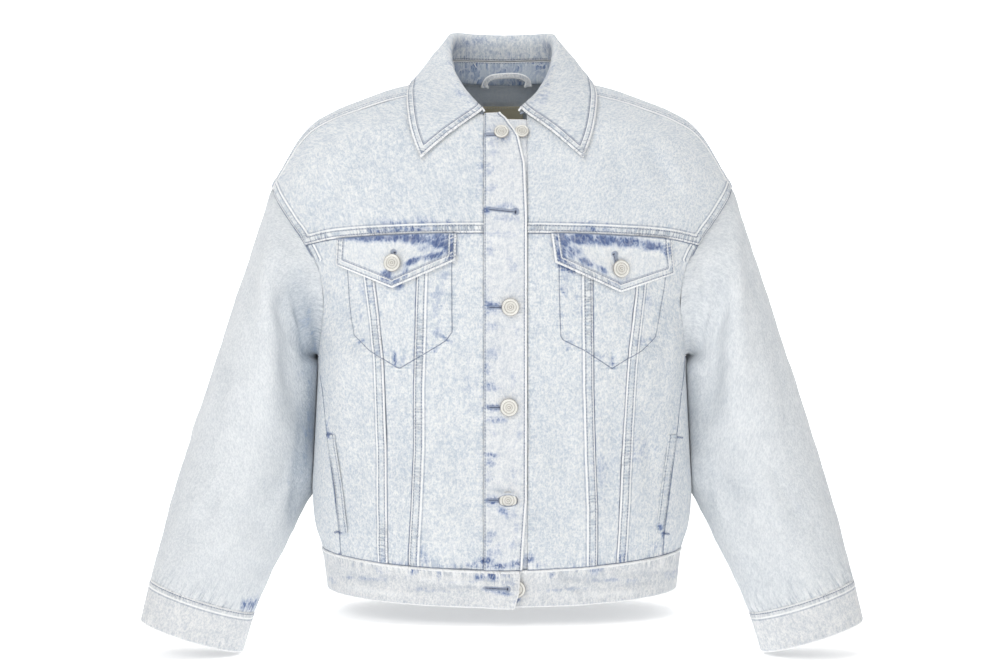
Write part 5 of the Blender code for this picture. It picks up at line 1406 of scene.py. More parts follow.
def plackets():
    """The placket with the buttonholes, and the one with the buttons under it."""
    edge = table_x(LAP_EDGE)
    lap = at_seam(lambda z: edge(z) + LAP_REACH, 1)
    top = cloth_between(placket_rows(), placket_side(-1), lap, PLACKET_COLUMNS, seed_of("placket_right"))
    top.inset(SEAM_GAP / 2)
    stain(top)
    for hole in PLACKET_HOLES:
        top.hole(*hole)
    top.lift += lips(top)
    top.sew("in", PLAIN._replace(first=PLACKET_STITCH)).sew("out", LAP_SIDE)
    top.sew("high", HEM).sew("low", GATHERED).crease()
    wall("placket_right", top, LAP_GAP / 2, LAP_GAP / 2 + PLACKET_CLOTH)
    stitch_rows(top, ["in"], PLACKET_STITCH)
    stitch_rows(top, ["out"], LAP_SIDE.first)
    rows = rings(ROW["front band"], NECK_ROW - UNDERLAP_DROP, UNDERLAP_SPACING)
    inner = at_seam(upright(-UNDERLAP_X), 1)
    under = cloth_between(rows, inner, placket_side(1), UNDERLAP_COLUMNS, seed_of("placket_left"))
    under.inset(SEAM_GAP / 2)
    stain(under)
    under.sew("out", PLAIN).sew("in", HEM).sew("high", HEM).sew("low", GATHERED).crease()
    wall("placket_left", under, -LAP_GAP / 2 - PLACKET_CLOTH, -LAP_GAP / 2)


def side_line(side):
    """The angle of the body's side, on every ring."""
    return lambda row: np.full(row.shape, side * math.pi / 2)


def waistband_front(side):
    """Half of the waistband in front; the wearer's right end laps over the left one and lifts."""
    rows = rings(ROW["front hem"], ROW["front band"], BAND_SPACING)
    start = at_seam(table_x(LAP_EDGE), 1) if side < 0 else at_seam(upright(-UNDERLAP_X), 1)
    cloth = cloth_between(rows, start, side_line(side), BAND_COLUMNS, seed_of("waistband", side))
    cloth.normals[:, -1] = [side, 0, 0]
    shift = -side * BAND_LAP * eased(side * cloth.points[..., 0], BAND_LAP_START, BAND_LAP_END)
    if side < 0:
        lift = np.interp(np.linspace(0, 1, len(rows)), np.linspace(0, 1, len(BAND_LIFT)), BAND_LIFT)
        shift = shift + lift[:, None] * eased(cloth.points[..., 0], *BAND_LIFT_X)
    cloth.points += cloth.normals * shift[..., None]
    cloth.inset(SEAM_GAP / 2)
    stain(cloth)
    if side < 0:
        cloth.hole(*BAND_HOLE)
    cloth.sew("high", BAND_EDGE).sew("low", HEM).sew("in", HEM).crease()
    wall("waistband", cloth, -BAND_CLOTH / 2, BAND_CLOTH / 2, side)
    stitch_rows(cloth, ["low"], BAND_STITCH)


def waistband_back():
    """The waistband across the back."""
    rows = rings(ROW["back hem"], ROW["back band"], BAND_BACK_SPACING)
    cloth = cloth_between(rows, side_line(-1), side_line(1), BAND_BACK_COLUMNS, seed_of("waistband_back"))
    cloth.normals[:, 0], cloth.normals[:, -1] = [-1, 0, 0], [1, 0, 0]
    cloth.inset(SEAM_GAP / 2)
    cloth.sew("high", BAND_EDGE).sew("low", HEM).crease()
    wall("waistband_back", cloth, -BAND_CLOTH / 2, BAND_CLOTH / 2)
    stitch_rows(cloth, ["low"], BAND_STITCH)


# ---------------------------------------------------------------- sleeves and cuffs

AROUND = 132  # points round the sleeve
SLEEVE_ROWS = 132
CUFF_ROWS = 20
ARMHOLE_POINTS = 200  # points down the front and the back of the armhole
UNDER_COLUMNS = 8


def armhole_loop():
    """Points, normals and outward ways round the left armhole, from the shoulder seam down and up."""
    front_rows = np.linspace(SHOULDER_ROW, ROW["front armpit"], ARMHOLE_POINTS)
    back_rows = np.linspace(ROW["back armpit"], SHOULDER_ROW, ARMHOLE_POINTS)[:-1]
    height = torso_ring(ROW["front armpit"]).edge_z
    under_points, under_normals = gusset(np.array([height, height]), 1, UNDER_COLUMNS)
    parts = []
    for rows in (front_rows, back_rows):
        angle = armhole(rows)
        way = torso(angle, rows) - torso(angle - SMALL_TURN, rows)
        parts.append((torso(angle, rows), torso_normal(angle, rows), way))
    up = np.tile([0, 0, 1.0], (len(under_points[0]) - 2, 1))
    parts.insert(1, (under_points[0, 1:-1], under_normals[0, 1:-1], up))
    points, normals, ways = (np.concatenate([part[k] for part in parts]) for k in range(3))
    tangents = np.roll(points, -1, axis=0) - np.roll(points, 1, axis=0)
    outward = unit(np.cross(normals, tangents))
    outward *= np.sign((outward * ways).sum(axis=1, keepdims=True))
    lengths = np.concatenate([[0], np.cumsum(np.linalg.norm(np.roll(points, -1, axis=0) - points, axis=1))])
    top = int(np.argmax(points[:, 2]))
    under_arm = points[:, 2] < height + SMALL_STEP
    bottom = int(np.argmin(np.where(under_arm, np.abs(points[:, 1]), np.inf)))
    total = lengths[-1]
    down = (lengths[bottom] - lengths[top]) % total
    walked = (lengths[:-1] - lengths[top]) % total
    angles = np.interp(walked, [0, down, total], [0, math.pi, 2 * math.pi])
    order = np.argsort(angles)
    even = np.linspace(0, 2 * math.pi, AROUND, endpoint=False)
    turned = np.concatenate([angles[order] - 2 * math.pi, angles[order], angles[order] + 2 * math.pi])

    def spread(values):
        thrice = np.concatenate([values[order]] * 3)
        return np.stack([np.interp(even, turned, thrice[:, k]) for k in range(3)], axis=-1)

    return even, spread(points), unit(spread(normals)), unit(spread(outward))


def sleeve_ring(name, angles):
    """Points of one of the sleeve's rings, at angles from its outer side round the front."""
    ring = SleeveRing(*SLEEVE[name])
    middle = np.array([(ring.inner_x + ring.outer_x) / 2, ring.centre_y, (ring.inner_z + ring.outer_z) / 2])
    wide = np.array([(ring.outer_x - ring.inner_x) / 2, 0, (ring.outer_z - ring.inner_z) / 2])
    deep = np.array([0, -ring.half_depth, 0])
    return middle + np.cos(angles)[:, None] * wide + np.sin(angles)[:, None] * deep


def clear_of_body(points):
    """The points, moved straight out where they would touch the body below the armpit."""
    x, y, z = points[..., 0], points[..., 1], points[..., 2]
    top = torso_ring(ROW["front armpit"]).edge_z
    bottom = torso_ring(ROW["front band"]).edge_z
    ring = torso_ring(ring_at_height(z, y > 0))
    apart = SLEEVE_CLEARANCE * (2 * np.minimum((top - z) / ARMPIT_REACH, 1) - 1)
    wide, deep = ring.half_width + apart, np.abs(ring.depth) + apart
    across, back = (np.abs(x) / wide) ** ring.roundness, (np.abs(y) / deep) ** ring.roundness
    touches = (across + back < 1) & (z <= top) & (z >= bottom)
    moved = wide * np.maximum(1 - back, 0) ** (1 / ring.roundness)
    return np.stack([np.where(touches, moved, x), y, z], axis=-1)


def sleeve_fold(place, angle):
    """How deep the sleeve's cloth sinks at rings and angles."""
    depth = np.zeros(np.broadcast(place, angle).shape)
    for fold in (SleeveFold(*row) for row in SLEEVE_FOLDS):
        share = np.clip((place - fold.start) / (fold.end - fold.start), 0, 1)
        middle = fold.start_angle + (fold.end_angle - fold.start_angle) * share
        off = np.clip((np.degrees(angle) - middle) / fold.half_width, -1, 1)
        along = np.sin(math.pi * share) ** SLEEVE_FOLD_FULLNESS
        depth += fold.depth * along * (1 + np.cos(math.pi * off)) / 2
    return depth


def tube_normals(rows):
    """Outward directions of a tube's points, row by row."""
    round_it = np.roll(rows, -1, axis=1) - np.roll(rows, 1, axis=1)
    normals = unit(np.cross(np.gradient(rows, axis=0), round_it))
    middle = rows.mean(axis=1, keepdims=True)
    return normals if (normals * (rows - middle)).sum(axis=2).mean() > 0 else -normals


def closed(rows, normals, side, seed):
    """A tube's rows as cloth whose last column is its first, on one side of the body."""
    rows = np.concatenate([rows, rows[:, :1]], axis=1)
    normals = np.concatenate([normals, normals[:, :1]], axis=1)
    return Cloth(rows * [side, 1, 1], normals * [side, 1, 1], seed)


def sleeve_surface():
    """Rows of points down the left sleeve from the armhole to the cuff seam, and the first normals."""
    angles, loop, normals, outward = armhole_loop()
    places = np.linspace(0, len(SLEEVE) - 1, SLEEVE_ROWS)
    stations = np.array([loop] + [sleeve_ring(name, angles) for name in list(SLEEVE)[:-1]])
    knots = np.arange(len(stations))
    rows = np.zeros((len(places), AROUND, 3))
    for i in range(AROUND):
        slope = slopes(knots, stations[:, i])
        first = stations[1, i] - stations[0, i]
        length = np.linalg.norm(first)
        along = max(float(first @ outward[i]) / length, 0)
        slope[0] = first * (1 - along) + outward[i] * (length * along * SLEEVE_START + PEAK * (1 - along))
        rows[:, i] = smooth(knots, stations[:, i], slope, places)
    rows -= tube_normals(rows) * sleeve_fold(places[:, None], angles[None, :])[..., None]
    rows[0] += outward * SLEEVE_GAP
    low = places > CLEAR_FROM
    armpit = torso_ring(ROW["front armpit"]).edge_z
    below = eased(rows[..., 2], armpit + SHIFT_START, armpit + SHIFT_FULL)
    rows[..., 0] -= INNER_SHIFT * below * close_to_body(places[:, None], np.degrees(angles)[None, :])
    rows[low] = clear_of_body(rows[low])
    return places, rows, normals


# The deep valley between the sleeve and the body, seen from in front as (x, z).
VALLEY = ((226, -196), (219, -225), (211, -260), (207, -300), (206, -335), (208, -376), (212, -414),
          (217, -470), (226, -505))
# On the wearer's right and left: its half width, its depth and how much painted shade darkens it.
VALLEY_SIZES = {-1: (18, 14, 1.3), 1: (14, 8, 0.1)}
# Narrow folds in it: how far out from its middle, from which part of it to which, half width and depth.
STREAKS = ((-7, 0.35, 0.95, 2.6, 1.8), (-2, 0.15, 0.6, 2.4, 1.6), (5, 0.25, 0.85, 3.0, 2.2),
           (11, 0.1, 0.5, 2.8, 1.5), (14, 0.55, 1.0, 3.4, 1.6))
# How much painted shade darkens the streaks, on the wearer's right and left.
STREAK_TINT = {-1: 0.4, 1: 0.2}
# They are there only where the sleeve faces the front, and fade towards the armhole and the body.
FRONT_FROM, FRONT_FULL, SEAM_FADE, BESIDE_START, BESIDE_END = -0.05, 0.3, 6, 2, 12
INNER_SHIFT = 11.0  # how far the sleeve's inner side is drawn to the body, short of touching it
INNER_MIDDLE, INNER_SPREAD = 172, 40  # which part of the sleeve is its inner side, in degrees from the outer
SHIFT_START, SHIFT_FULL = 4, -12  # from where to where below the armpit the shift sets in
# Rings between which the inner side is drawn in, and from which the sleeve is kept clear of the body.
DRAWN_FROM, DRAWN_FULL, DRAWN_LAST, DRAWN_END, CLEAR_FROM = 0.05, 0.5, 5.4, 6.4, 0.4


def close_to_body(places, degrees):
    """How much of the way to the body the sleeve's inner side goes, at rings and degrees round."""
    off = (degrees - INNER_MIDDLE) / INNER_SPREAD
    return np.exp(-(off**4)) * eased(places, DRAWN_FROM, DRAWN_FULL) * eased(places, DRAWN_END, DRAWN_LAST)


FOLD_POINTS = 5


def part_of(line, first, last):
    """Places along a line of corners, from one part of it to another."""
    line = np.array(line, float)
    share = np.linspace(first, last, FOLD_POINTS) * (len(line) - 1)
    return np.stack([np.interp(share, np.arange(len(line)), line[:, k]) for k in range(2)], axis=-1)


FIRST_ROWS = 0.6  # down to this ring the sleeve's faces turn from the armhole's directions to its own
CREASE_BEND = 1.3  # how unevenly a crease turns round the sleeve
CUFF_STAIN = Patch(280, -576, 10, 11, 1.1, 0)  # on the wearer's right
ARMHOLE_DARK_END, ARMHOLE_DARK_START = -190, -215  # heights between which the dark line at the armhole ends
SLEEVE_WAVES = ((1, 0.7), (2, 0.4), (4, 0.15))  # how often they repeat, and their heights
WAVES_ROUND, WAVES_DOWN, SLEEVE_WAVE_SEED = 6, 2, 9
CUFF_STITCH, CUFF_SECOND_STITCH, CUFF_GATHER = 2.5, 4.4, 0.4


def crease_sleeve(cloth, side):
    """Folds the sleeve, with the valley and its narrow streaks beside the body, darkened with painted shade
    where the sleeve faces the front.
    """
    share = np.linspace(0, 1, FOLD_POINTS)
    for place0, degrees0, place1, degrees1, half_width, depth in SLEEVE_CREASES:
        place = (place0 + (place1 - place0) * share) / (len(SLEEVE) - 1) * (SLEEVE_ROWS - 1)
        column = (degrees0 + (degrees1 - degrees0) * share**CREASE_BEND) / 360 * AROUND
        cloth.fold(cloth.points[place.astype(int), column.astype(int)], half_width, depth)
    kept, tint = cloth.lift.copy(), cloth.marks["relief"].copy()
    # The valley and its streaks are tinted darker here as painted shade.
    cloth.fold(np.array(VALLEY) * [side, 1], *VALLEY_SIZES[side])
    for out, first, last, half_width, depth in STREAKS:
        streak = (part_of(VALLEY, first, last) + [out, 0]) * [side, 1]
        cloth.fold(streak, half_width, depth, STREAK_TINT[side])
    away = np.abs(cloth.points[..., 0])
    beside = away - away.min(axis=1, keepdims=True)
    in_front = eased(-cloth.normals[..., 1], FRONT_FROM, FRONT_FULL)
    sunk = in_front * eased(cloth.distance("low"), 0, SEAM_FADE) * eased(beside, BESIDE_START, BESIDE_END)
    cloth.lift = kept + (cloth.lift - kept) * sunk
    # The painted shade is kept only where the sleeve faces the front.
    cloth.marks["relief"] = tint + (cloth.marks["relief"] - tint) * in_front


def sleeve(side):
    """A sleeve from the dropped armhole to its cuff, as one closed tube."""
    places, rows, first = sleeve_surface()
    normals = tube_normals(rows)
    share = eased(places, FIRST_ROWS, 0)[:, None, None]
    normals = unit(first[None] * share + normals * (1 - share))
    cloth = closed(rows, normals, side, seed_of("sleeve", side))
    cloth.inset(SEAM_GAP / 2, ("low",))
    cloth.sew("low", DITCH).sew("high", GATHERED)
    if side < 0:
        x, z = -cloth.points[..., 0], cloth.points[..., 2]
        away = ((x - CUFF_STAIN.x) / CUFF_STAIN.wide) ** 2 + ((z - CUFF_STAIN.z) / CUFF_STAIN.tall) ** 2
        cloth.mark_most("indigo", CUFF_STAIN.strength * np.exp(-away))
    cloth.marks["dark"] += FAR * eased(cloth.points[..., 2], ARMHOLE_DARK_END, ARMHOLE_DARK_START)
    crease_sleeve(cloth, side)
    middle = np.arange(AROUND + 1) / AROUND
    for size, height in SLEEVE_WAVES:
        round_it = np.sin(math.pi * middle)[None, :] * WAVES_ROUND * size
        wave = waves(round_it, places[:, None] * WAVES_DOWN * size, 1.0, SLEEVE_WAVE_SEED + side)
        cloth.lift += height * wave
        cloth.marks["relief"] += RELIEF_OF_WAVES * wave
    cloth.lift *= 1 - close_to_body(places[:, None], 360 * middle[None, :])
    wall("sleeve", cloth, side=side)


def cuff(side):
    """A folded cuff."""
    angles = np.linspace(0, 2 * math.pi, AROUND, endpoint=False)
    top, end = sleeve_ring("cuff seam", angles), sleeve_ring("cuff end", angles)
    share = np.linspace(0, 1, CUFF_ROWS)[:, None, None]
    rows = top * (1 - share) + end * share
    cloth = closed(rows, tube_normals(rows), side, seed_of("cuff", side))
    cloth.inset(SEAM_GAP / 2, ("low",))
    cloth.sew("low", TURNED._replace(second=None, gather=CUFF_GATHER)).sew("high", HEM)
    wall("cuff", cloth, -BAND_CLOTH / 2, BAND_CLOTH / 2, side)
    stitch_rows(cloth, ["low"], TURNED.first, CUFF_SECOND_STITCH)
    stitch_rows(cloth, ["high"], CUFF_STITCH)


# ---------------------------------------------------------------- collar


def neckline():
    """Points, normals and ways into the hole along half of the neckline, from centre back to front."""
    angle, row = NECK_ANGLES[::-1], NECK_ROWS[::-1]
    points, normals = torso(angle, row), torso_normal(angle, row)
    inward = unit(np.cross(normals, np.gradient(points, axis=0)))
    over_neck = np.array([0, (NECK_FRONT_Y + NECK_BACK_Y) / 2, points[:, 2].max() * 2])
    inward *= np.sign((inward * (over_neck - points)).sum(axis=1, keepdims=True))
    points[0, 0] = normals[0, 0] = inward[0, 0] = 0
    length = np.concatenate([[0], np.cumsum(np.linalg.norm(np.diff(points, axis=0), axis=1))])
    even = np.linspace(0, length[-1], COLLAR_LINES)

    def spread(values):
        return np.stack([np.interp(even, length, values[:, k]) for k in range(3)], axis=-1)

    return spread(points), unit(spread(normals)), unit(spread(inward)), even / even[-1]


COLLAR_LINES = 96
STAND_ROWS, ROLL_ROWS, LEAF_ROWS = 18, 10, 30
COLLAR_FIRST_ROWS = 6  # over these rows the collar's faces turn from the body's directions to its own
# Indigo in the stand and on the leaf's inner half: its mean, how much it varies, over what length, a seed.
STAND_WASH, LEAF_WASH = (0.62, 0.25, 17, 3), (0.42, 0.25, 14, 4)
LEAF_BLUE_END, LEAF_BLUE_START = 34, 22


def over_body(x, y, lift):
    """The points that stand this high above the body's cloth at plan positions."""
    spot = spot_under(x, y, ROW["front yoke"], ROW["back yoke"])
    return torso(*spot) + torso_normal(*spot) * np.asarray(lift)[..., None]


def collar_rows():
    """Rows of points across half of the collar, and its first normals."""
    starts, normals, inward, along = neckline()
    sections = [CollarSection(*row) for row in COLLAR]
    edges = over_body(*np.array([s.edge_plan_and_lift for s in sections]).T)
    table = [[*s.stand, *s.roll, *edge, s.bulge] for s, edge in zip(sections, edges)]
    values = curve_through([s.along for s in sections], table)(along)
    up = np.array([0, 0, 1.0])
    lines = []
    for start, way, row in zip(starts + inward * COLLAR_GAP, inward, values):
        stand, roll, edge, bulge = row[0:3], row[3:6], row[6:9], row[9]
        away = unit((edge - roll) * [1, 1, 0])
        drop = min(ROLL_DROP, ROLL_DROP_SHARE * np.linalg.norm(roll - stand))
        inner = roll - away * min(ROLL_RADIUS, drop) - up * drop
        outer = roll + away * ROLL_RADIUS - up * drop
        middle = (outer + edge) / 2 + (away + up) * bulge / math.sqrt(2)
        points = np.array([start, stand, inner, roll, outer, middle, edge])
        knots = np.concatenate([[0], np.cumsum(np.linalg.norm(np.diff(points, axis=0), axis=1))])
        slope = slopes(knots, points)
        slope[0] = way * min(COLLAR_START / knots[1], 1)
        places = np.concatenate([np.linspace(0, knots[1], STAND_ROWS),
                                 np.linspace(knots[1], knots[4], ROLL_ROWS)[1:],
                                 np.linspace(knots[4], knots[6], LEAF_ROWS)[1:]])
        lines.append(smooth(knots, points, slope, places))
    return np.array(lines).transpose(1, 0, 2), normals


def clear_over_body(points):
    """The points, raised where the leaf would touch the body below it."""
    x, y = points[..., 0], points[..., 1]
    below = over_body(x, y, np.zeros(x.shape))
    up = over_body(x, y, np.ones(x.shape)) - below
    short = np.maximum(COLLAR_LIFT - ((points - below) * up).sum(axis=-1), 0)
    return points + up * short[..., None]


def both_halves(half):
    """Half of the collar's points or directions with their mirror image before them."""
    return np.concatenate([half[:, :0:-1] * [-1, 1, 1], half], axis=1)


def uneven_wash(cloth, mean, swing, length, seed):
    """Indigo that comes and goes over a cloth."""
    return mean + swing * waves(cloth.across, cloth.along, length, seed)


def collar():
    """The collar's stand and the leaf that rolls over it."""
    rows, first = collar_rows()
    leaf_start = STAND_ROWS + ROLL_ROWS // 2
    rows[leaf_start:] = clear_over_body(rows[leaf_start:])
    rows = both_halves(rows)
    ways = np.gradient(rows, axis=0)
    normals = unit(np.cross(ways, np.gradient(rows, axis=1)))
    first = both_halves(first[None])[0]
    if (normals[0] * first).sum() < 0:
        normals = -normals
    share = eased(np.arange(len(rows)), COLLAR_FIRST_ROWS, 0)[:, None, None]
    normals = -unit(first[None] * share + normals * (1 - share))
    stand = Cloth(rows[:STAND_ROWS], normals[:STAND_ROWS], seed_of("collar_stand"))
    stand.inset(COLLAR_SEAM_GAP, ("high",))
    stand.mark_most("indigo", uneven_wash(stand, *STAND_WASH))
    stand.sew("high", FOLDED).sew("low", DITCH).crease()
    wall("collar_stand", stand, -COLLAR_CLOTH / 2, COLLAR_CLOTH / 2)
    stitch_rows(stand, ["high"], FOLDED.first)
    leaf = Cloth(rows[STAND_ROWS - 1:], normals[STAND_ROWS - 1:], seed_of("collar_leaf"))
    leaf.inset(COLLAR_SEAM_GAP, ("low",))
    inner_half = eased(leaf.along, LEAF_BLUE_END, LEAF_BLUE_START)
    leaf.mark_most("indigo", inner_half * uneven_wash(leaf, *LEAF_WASH))
    leaf.sew("high", TURNED).sew("in", TURNED).sew("out", TURNED).sew("low", FOLDED).crease()
    wall("collar_leaf", leaf, -COLLAR_CLOTH / 2, COLLAR_CLOTH / 2)
    stitch_rows(leaf, ["low"], FOLDED.first)
    stitch_rows(leaf, ["high", "in", "out"], TURNED.first)


# ---------------------------------------------------------------- pockets


def seam_height(x):
    """The height of the yoke seam at distances x from the centre."""
    return torso(angle_across(x, ROW["front yoke"]), ROW["front yoke"])[..., 2]


def pointed(top_x, corners, rows, columns, side, top_gap):
    """A grid of (x, z) from an outline with one point up to the yoke seam."""
    inner_top, outer_top = top_x
    (inner_x, inner_z), (tip_x, tip_z), (outer_x, outer_z) = corners
    share = np.linspace(0, 1, columns)
    high_x = inner_top + (outer_top - inner_top) * share
    high_z = seam_height(high_x) - top_gap
    low_x = np.interp(share, [0, 0.5, 1], [inner_x, tip_x, outer_x])
    low_z = np.interp(share, [0, 0.5, 1], [inner_z, tip_z, outer_z])
    down = np.linspace(1, 0, rows)[:, None]
    return side * (high_x + (low_x - high_x) * down), high_z + (low_z - high_z) * down, down


FLAP_ROWS, FLAP_COLUMNS = 40, 91
FLAP_GATHER = 0.5
BAG_ROWS, BAG_COLUMNS = 40, 41
WELT_ROWS, WELT_COLUMNS = 60, 8


def pocket_flap(side):
    """The pointed flap that hangs from the yoke seam, springing off the chest at its tip."""
    x, z, down = pointed(FLAP_TOP_X[side], FLAP_CORNERS[side], FLAP_ROWS, FLAP_COLUMNS, side, SEAM_GAP)
    cloth = cloth_on_front(x, z, seed_of("pocket_flap", side))
    stain(cloth)
    cloth.hole(*FLAP_HOLES[side])
    cloth.sew("low", TURNED).sew("in", TURNED).sew("out", TURNED)
    cloth.sew("high", DITCH._replace(gather=FLAP_GATHER)).crease()
    away = FLAP_LIFT + FLAP_SPRING * down**FLAP_CURVE
    wall("pocket_flap", cloth, away, away + FLAP_CLOTH, side)
    stitch_rows(cloth, ["low", "in", "out"], *TURNED_ROWS)


def pocket_bag(side):
    """The chest pocket's bag inside the front."""
    x, z, _ = pointed(BAG_TOP_X[side], BAG_CORNERS[side], BAG_ROWS, BAG_COLUMNS, side, BAG_TOP_GAP)
    cloth = cloth_on_front(x, z, seed_of("pocket_bag", side))
    wall("pocket_bag", cloth, -BAG_DEPTH - BAG_CLOTH, -BAG_DEPTH, side)


def pocket_welt(side):
    """The stitched edge of the hand pocket, beside the side seam."""
    edge = table_x(SIDE_SEAM)
    z = np.linspace(WELT_BOTTOM, WELT_TOP, WELT_ROWS)[:, None] * np.ones((1, WELT_COLUMNS))
    across = WELT_SEAM + np.linspace(0, 1, WELT_COLUMNS) * WELT_WIDTH
    cloth = cloth_on_front(side * (edge(z) - across), z, seed_of("pocket_welt", side))
    stain(cloth)
    cloth.sew("in", WELT_EDGE).sew("out", WELT_EDGE).crease()
    wall("pocket_welt", cloth, WELT_LIFT, WELT_LIFT + WELT_CLOTH, side)
    stitch_rows(cloth, ["out", "in"], WELT_EDGE.first)


# ---------------------------------------------------------------- buttons, loop and label

# Half of a button's section, out from its axis and up from the cloth, for a radius of 1, and how much painted
# shade darkens it.
BUTTON_SECTION = ((0, 0.47, 0), (0.09, 0.475, 0), (0.14, 0.43, 0.9), (0.18, 0.43, 0.5), (0.21, 0.47, 0),
                  (0.3, 0.475, 0), (0.345, 0.42, 1), (0.37, 0.42, 0.4), (0.46, 0.43, 0.1), (0.6, 0.43, 0.1),
                  (0.655, 0.42, 1), (0.69, 0.46, 0.2), (0.75, 0.49, 0), (0.84, 0.495, 0), (0.92, 0.47, 0.1),
                  (0.965, 0.43, 0.8), (1.0, 0.36, 1), (0.995, 0.3, 1), (0.96, 0.24, 1), (0.36, 0.17, 1),
                  (0.34, 0.0, 1), (0, 0, 1))
BUTTON_SIDES = 56
SHARP_ANGLE = 40


def button(name):
    """A metal button, turned to the cloth under it."""
    metal = Button(*BUTTONS[name])
    spot = spot_on_front(metal.x, metal.z)
    point, normal = torso(*spot), torso_normal(*spot)
    turns = np.linspace(0, 2 * math.pi, BUTTON_SIDES, endpoint=False)
    section = np.array(BUTTON_SECTION) * [metal.radius, metal.radius, 1]
    rows = [[(r * math.cos(t), r * math.sin(t), h) for t in turns] for r, h, _ in section[1:-1]]
    points = np.array([(0, 0, section[0, 1]), *np.array(rows).reshape(-1, 3), (0, 0, 0)])
    facing = np.array(Vector(normal).to_track_quat("Z", "Y").to_matrix())
    points = point + normal * metal.base + points @ facing.T
    count, last = BUTTON_SIDES, len(points) - 1
    faces = [(0, 1 + i, 1 + (i + 1) % count) for i in range(count)]
    for row in range(len(rows) - 1):
        start = 1 + row * count
        low = start + count
        faces += [(start + i, low + i, low + (i + 1) % count, start + (i + 1) % count)
                  for i in range(count)]
    start = last - count
    faces += [(start + i, last, start + (i + 1) % count) for i in range(count)]
    data = bpy.data.meshes.new(name)
    data.from_pydata((points * MM).tolist(), [], faces)
    data.shade_smooth()
    data.set_sharp_from_angle(angle=math.radians(SHARP_ANGLE))
    # How much painted shade darkens each ring of the section.
    dark = [section[0, 2], *np.repeat(section[1:-1, 2], count), section[-1, 2]]
    add_attribute(data, "painted_hollow_shade", np.stack([dark] * 3, axis=-1))
    piece(name + "_cap", data, ENAMEL, [name])


LOOP_KNOT, LOOP_KNOT_ROWS = 0.5, 4.5  # how much the ends of the loop are bunched up, and over how many rows
LOOP_COLUMNS, LOOP_ROWS = 60, 7
LOOP_WASH = 0.2
LOOP_STITCH = 1.3
LABEL_ROWS, LABEL_COLUMNS = 24, 34
LABEL_STITCH = 1.6


def hang_loop():
    """The loop inside the neck, bunched up where its ends are sewn down."""
    route = curve_through(range(len(LOOP_ROUTE)), LOOP_ROUTE)
    points = route(np.linspace(0, len(LOOP_ROUTE) - 1, LOOP_COLUMNS))
    ahead = unit(np.gradient(points, axis=0))
    across = unit(np.cross(ahead, [0, -1.0, 0]))
    face = np.cross(across, ahead)
    share = np.linspace(-0.5, 0.5, LOOP_ROWS)[:, None, None]
    column = np.arange(LOOP_COLUMNS)
    from_end = np.minimum(column, column[::-1])
    ends = np.exp(-((from_end / LOOP_KNOT_ROWS) ** 2))[None, :, None]
    rows = points[None] + across[None] * share * LOOP_WIDTH * (1 + LOOP_KNOT * ends)
    cloth = Cloth(rows, np.repeat(face[None], LOOP_ROWS, axis=0), seed_of("hang_loop"))
    cloth.lift += LOOP_KNOT * ends[..., 0]
    cloth.mark_most("indigo", LOOP_WASH)
    cloth.sew("low", HEM).sew("high", HEM)
    wall("hang_loop", cloth, -LOOP_CLOTH / 2, LOOP_CLOTH / 2)
    stitch_rows(cloth, ["low", "high"], LOOP_STITCH)


def neck_label():
    """The bare label inside the back of the neck."""
    heights, widths = np.linspace(LABEL_Z[1], LABEL_Z[0], LABEL_ROWS), np.linspace(*LABEL_X, LABEL_COLUMNS)
    z, x = np.meshgrid(heights, widths, indexing="ij")
    spot = spot_seen(x, z, ROW["back yoke"], ROW["back neck"])
    cloth = Cloth(torso(*spot), -torso_normal(*spot), seed_of("neck_label"))
    inner = CLOTH / 2 + LABEL_DEPTH
    wall("neck_label", cloth, inner, inner + LABEL_CLOTH)
    stitch_rows(cloth, ["low", "high", "in", "out"], LABEL_STITCH)


# ---------------------------------------------------------------- stitches

STITCH, STITCH_GAP, STITCH_START = 2.5, 0.8, 0.5
THREAD_WIDTH, THREAD_HEIGHT = 0.34, 0.22
# A thread's share of thickness at its ends, and how far its ends and its middle stand off the cloth.
THREAD_END, THREAD_SUNK, THREAD_RISE = 0.5, -0.25, 0.1
SATIN_SPACING, SATIN_RISE = 0.8, 0.25
SATIN_FROM, SATIN_TO = 0.4, 1.7  # how far from a buttonhole's slit its stitches start and end
SLIT_START, SLIT_STEP, SLIT_STITCH, SLIT_ACROSS, SLIT_NARROW, SLIT_EYE = 0.4, 1.6, 2.2, 0.35, 0.75, 0.6
BARTACK_SPACING = 0.55
EYE_TURN, EYE_STEP = 150, 24  # how far round its eye a buttonhole's stitches go each way, in degrees
NEAREST = 4  # how many points of a cloth tell where its face is


def spindles(name, starts, middles, ends, ways, material):
    """Short raised threads, each a spindle let into the cloth at its ends."""
    spot = np.stack([starts, middles, ends], axis=1)
    face = unit(np.repeat(ways[:, None], 3, axis=1))
    across = unit(np.cross(unit(spot[:, 2:] - spot[:, :1]), face))
    size = np.array([THREAD_END, 1.0, THREAD_END])[None, :, None]
    sunk = np.array([THREAD_SUNK, THREAD_RISE, THREAD_SUNK])[None, :, None] * face
    wide, high = across * THREAD_WIDTH * size, face * THREAD_HEIGHT * size
    ring = [wide, high, -wide, -high]
    places = np.stack([spot + sunk + r for r in ring], axis=2).reshape(-1, 3)
    base = np.arange(len(spot))[:, None] * 12
    pattern = [(s * 4 + i, s * 4 + (i + 1) % 4, s * 4 + 4 + (i + 1) % 4, s * 4 + 4 + i)
               for s in (0, 1) for i in range(4)] + [(3, 2, 1, 0), (8, 9, 10, 11)]
    faces = (base[:, :, None] + np.array(pattern)[None]).reshape(-1, 4)
    data = bpy.data.meshes.new(name)
    data.from_pydata((places * MM).tolist(), [], faces.tolist())
    data.shade_smooth()
    piece(name, data, material)


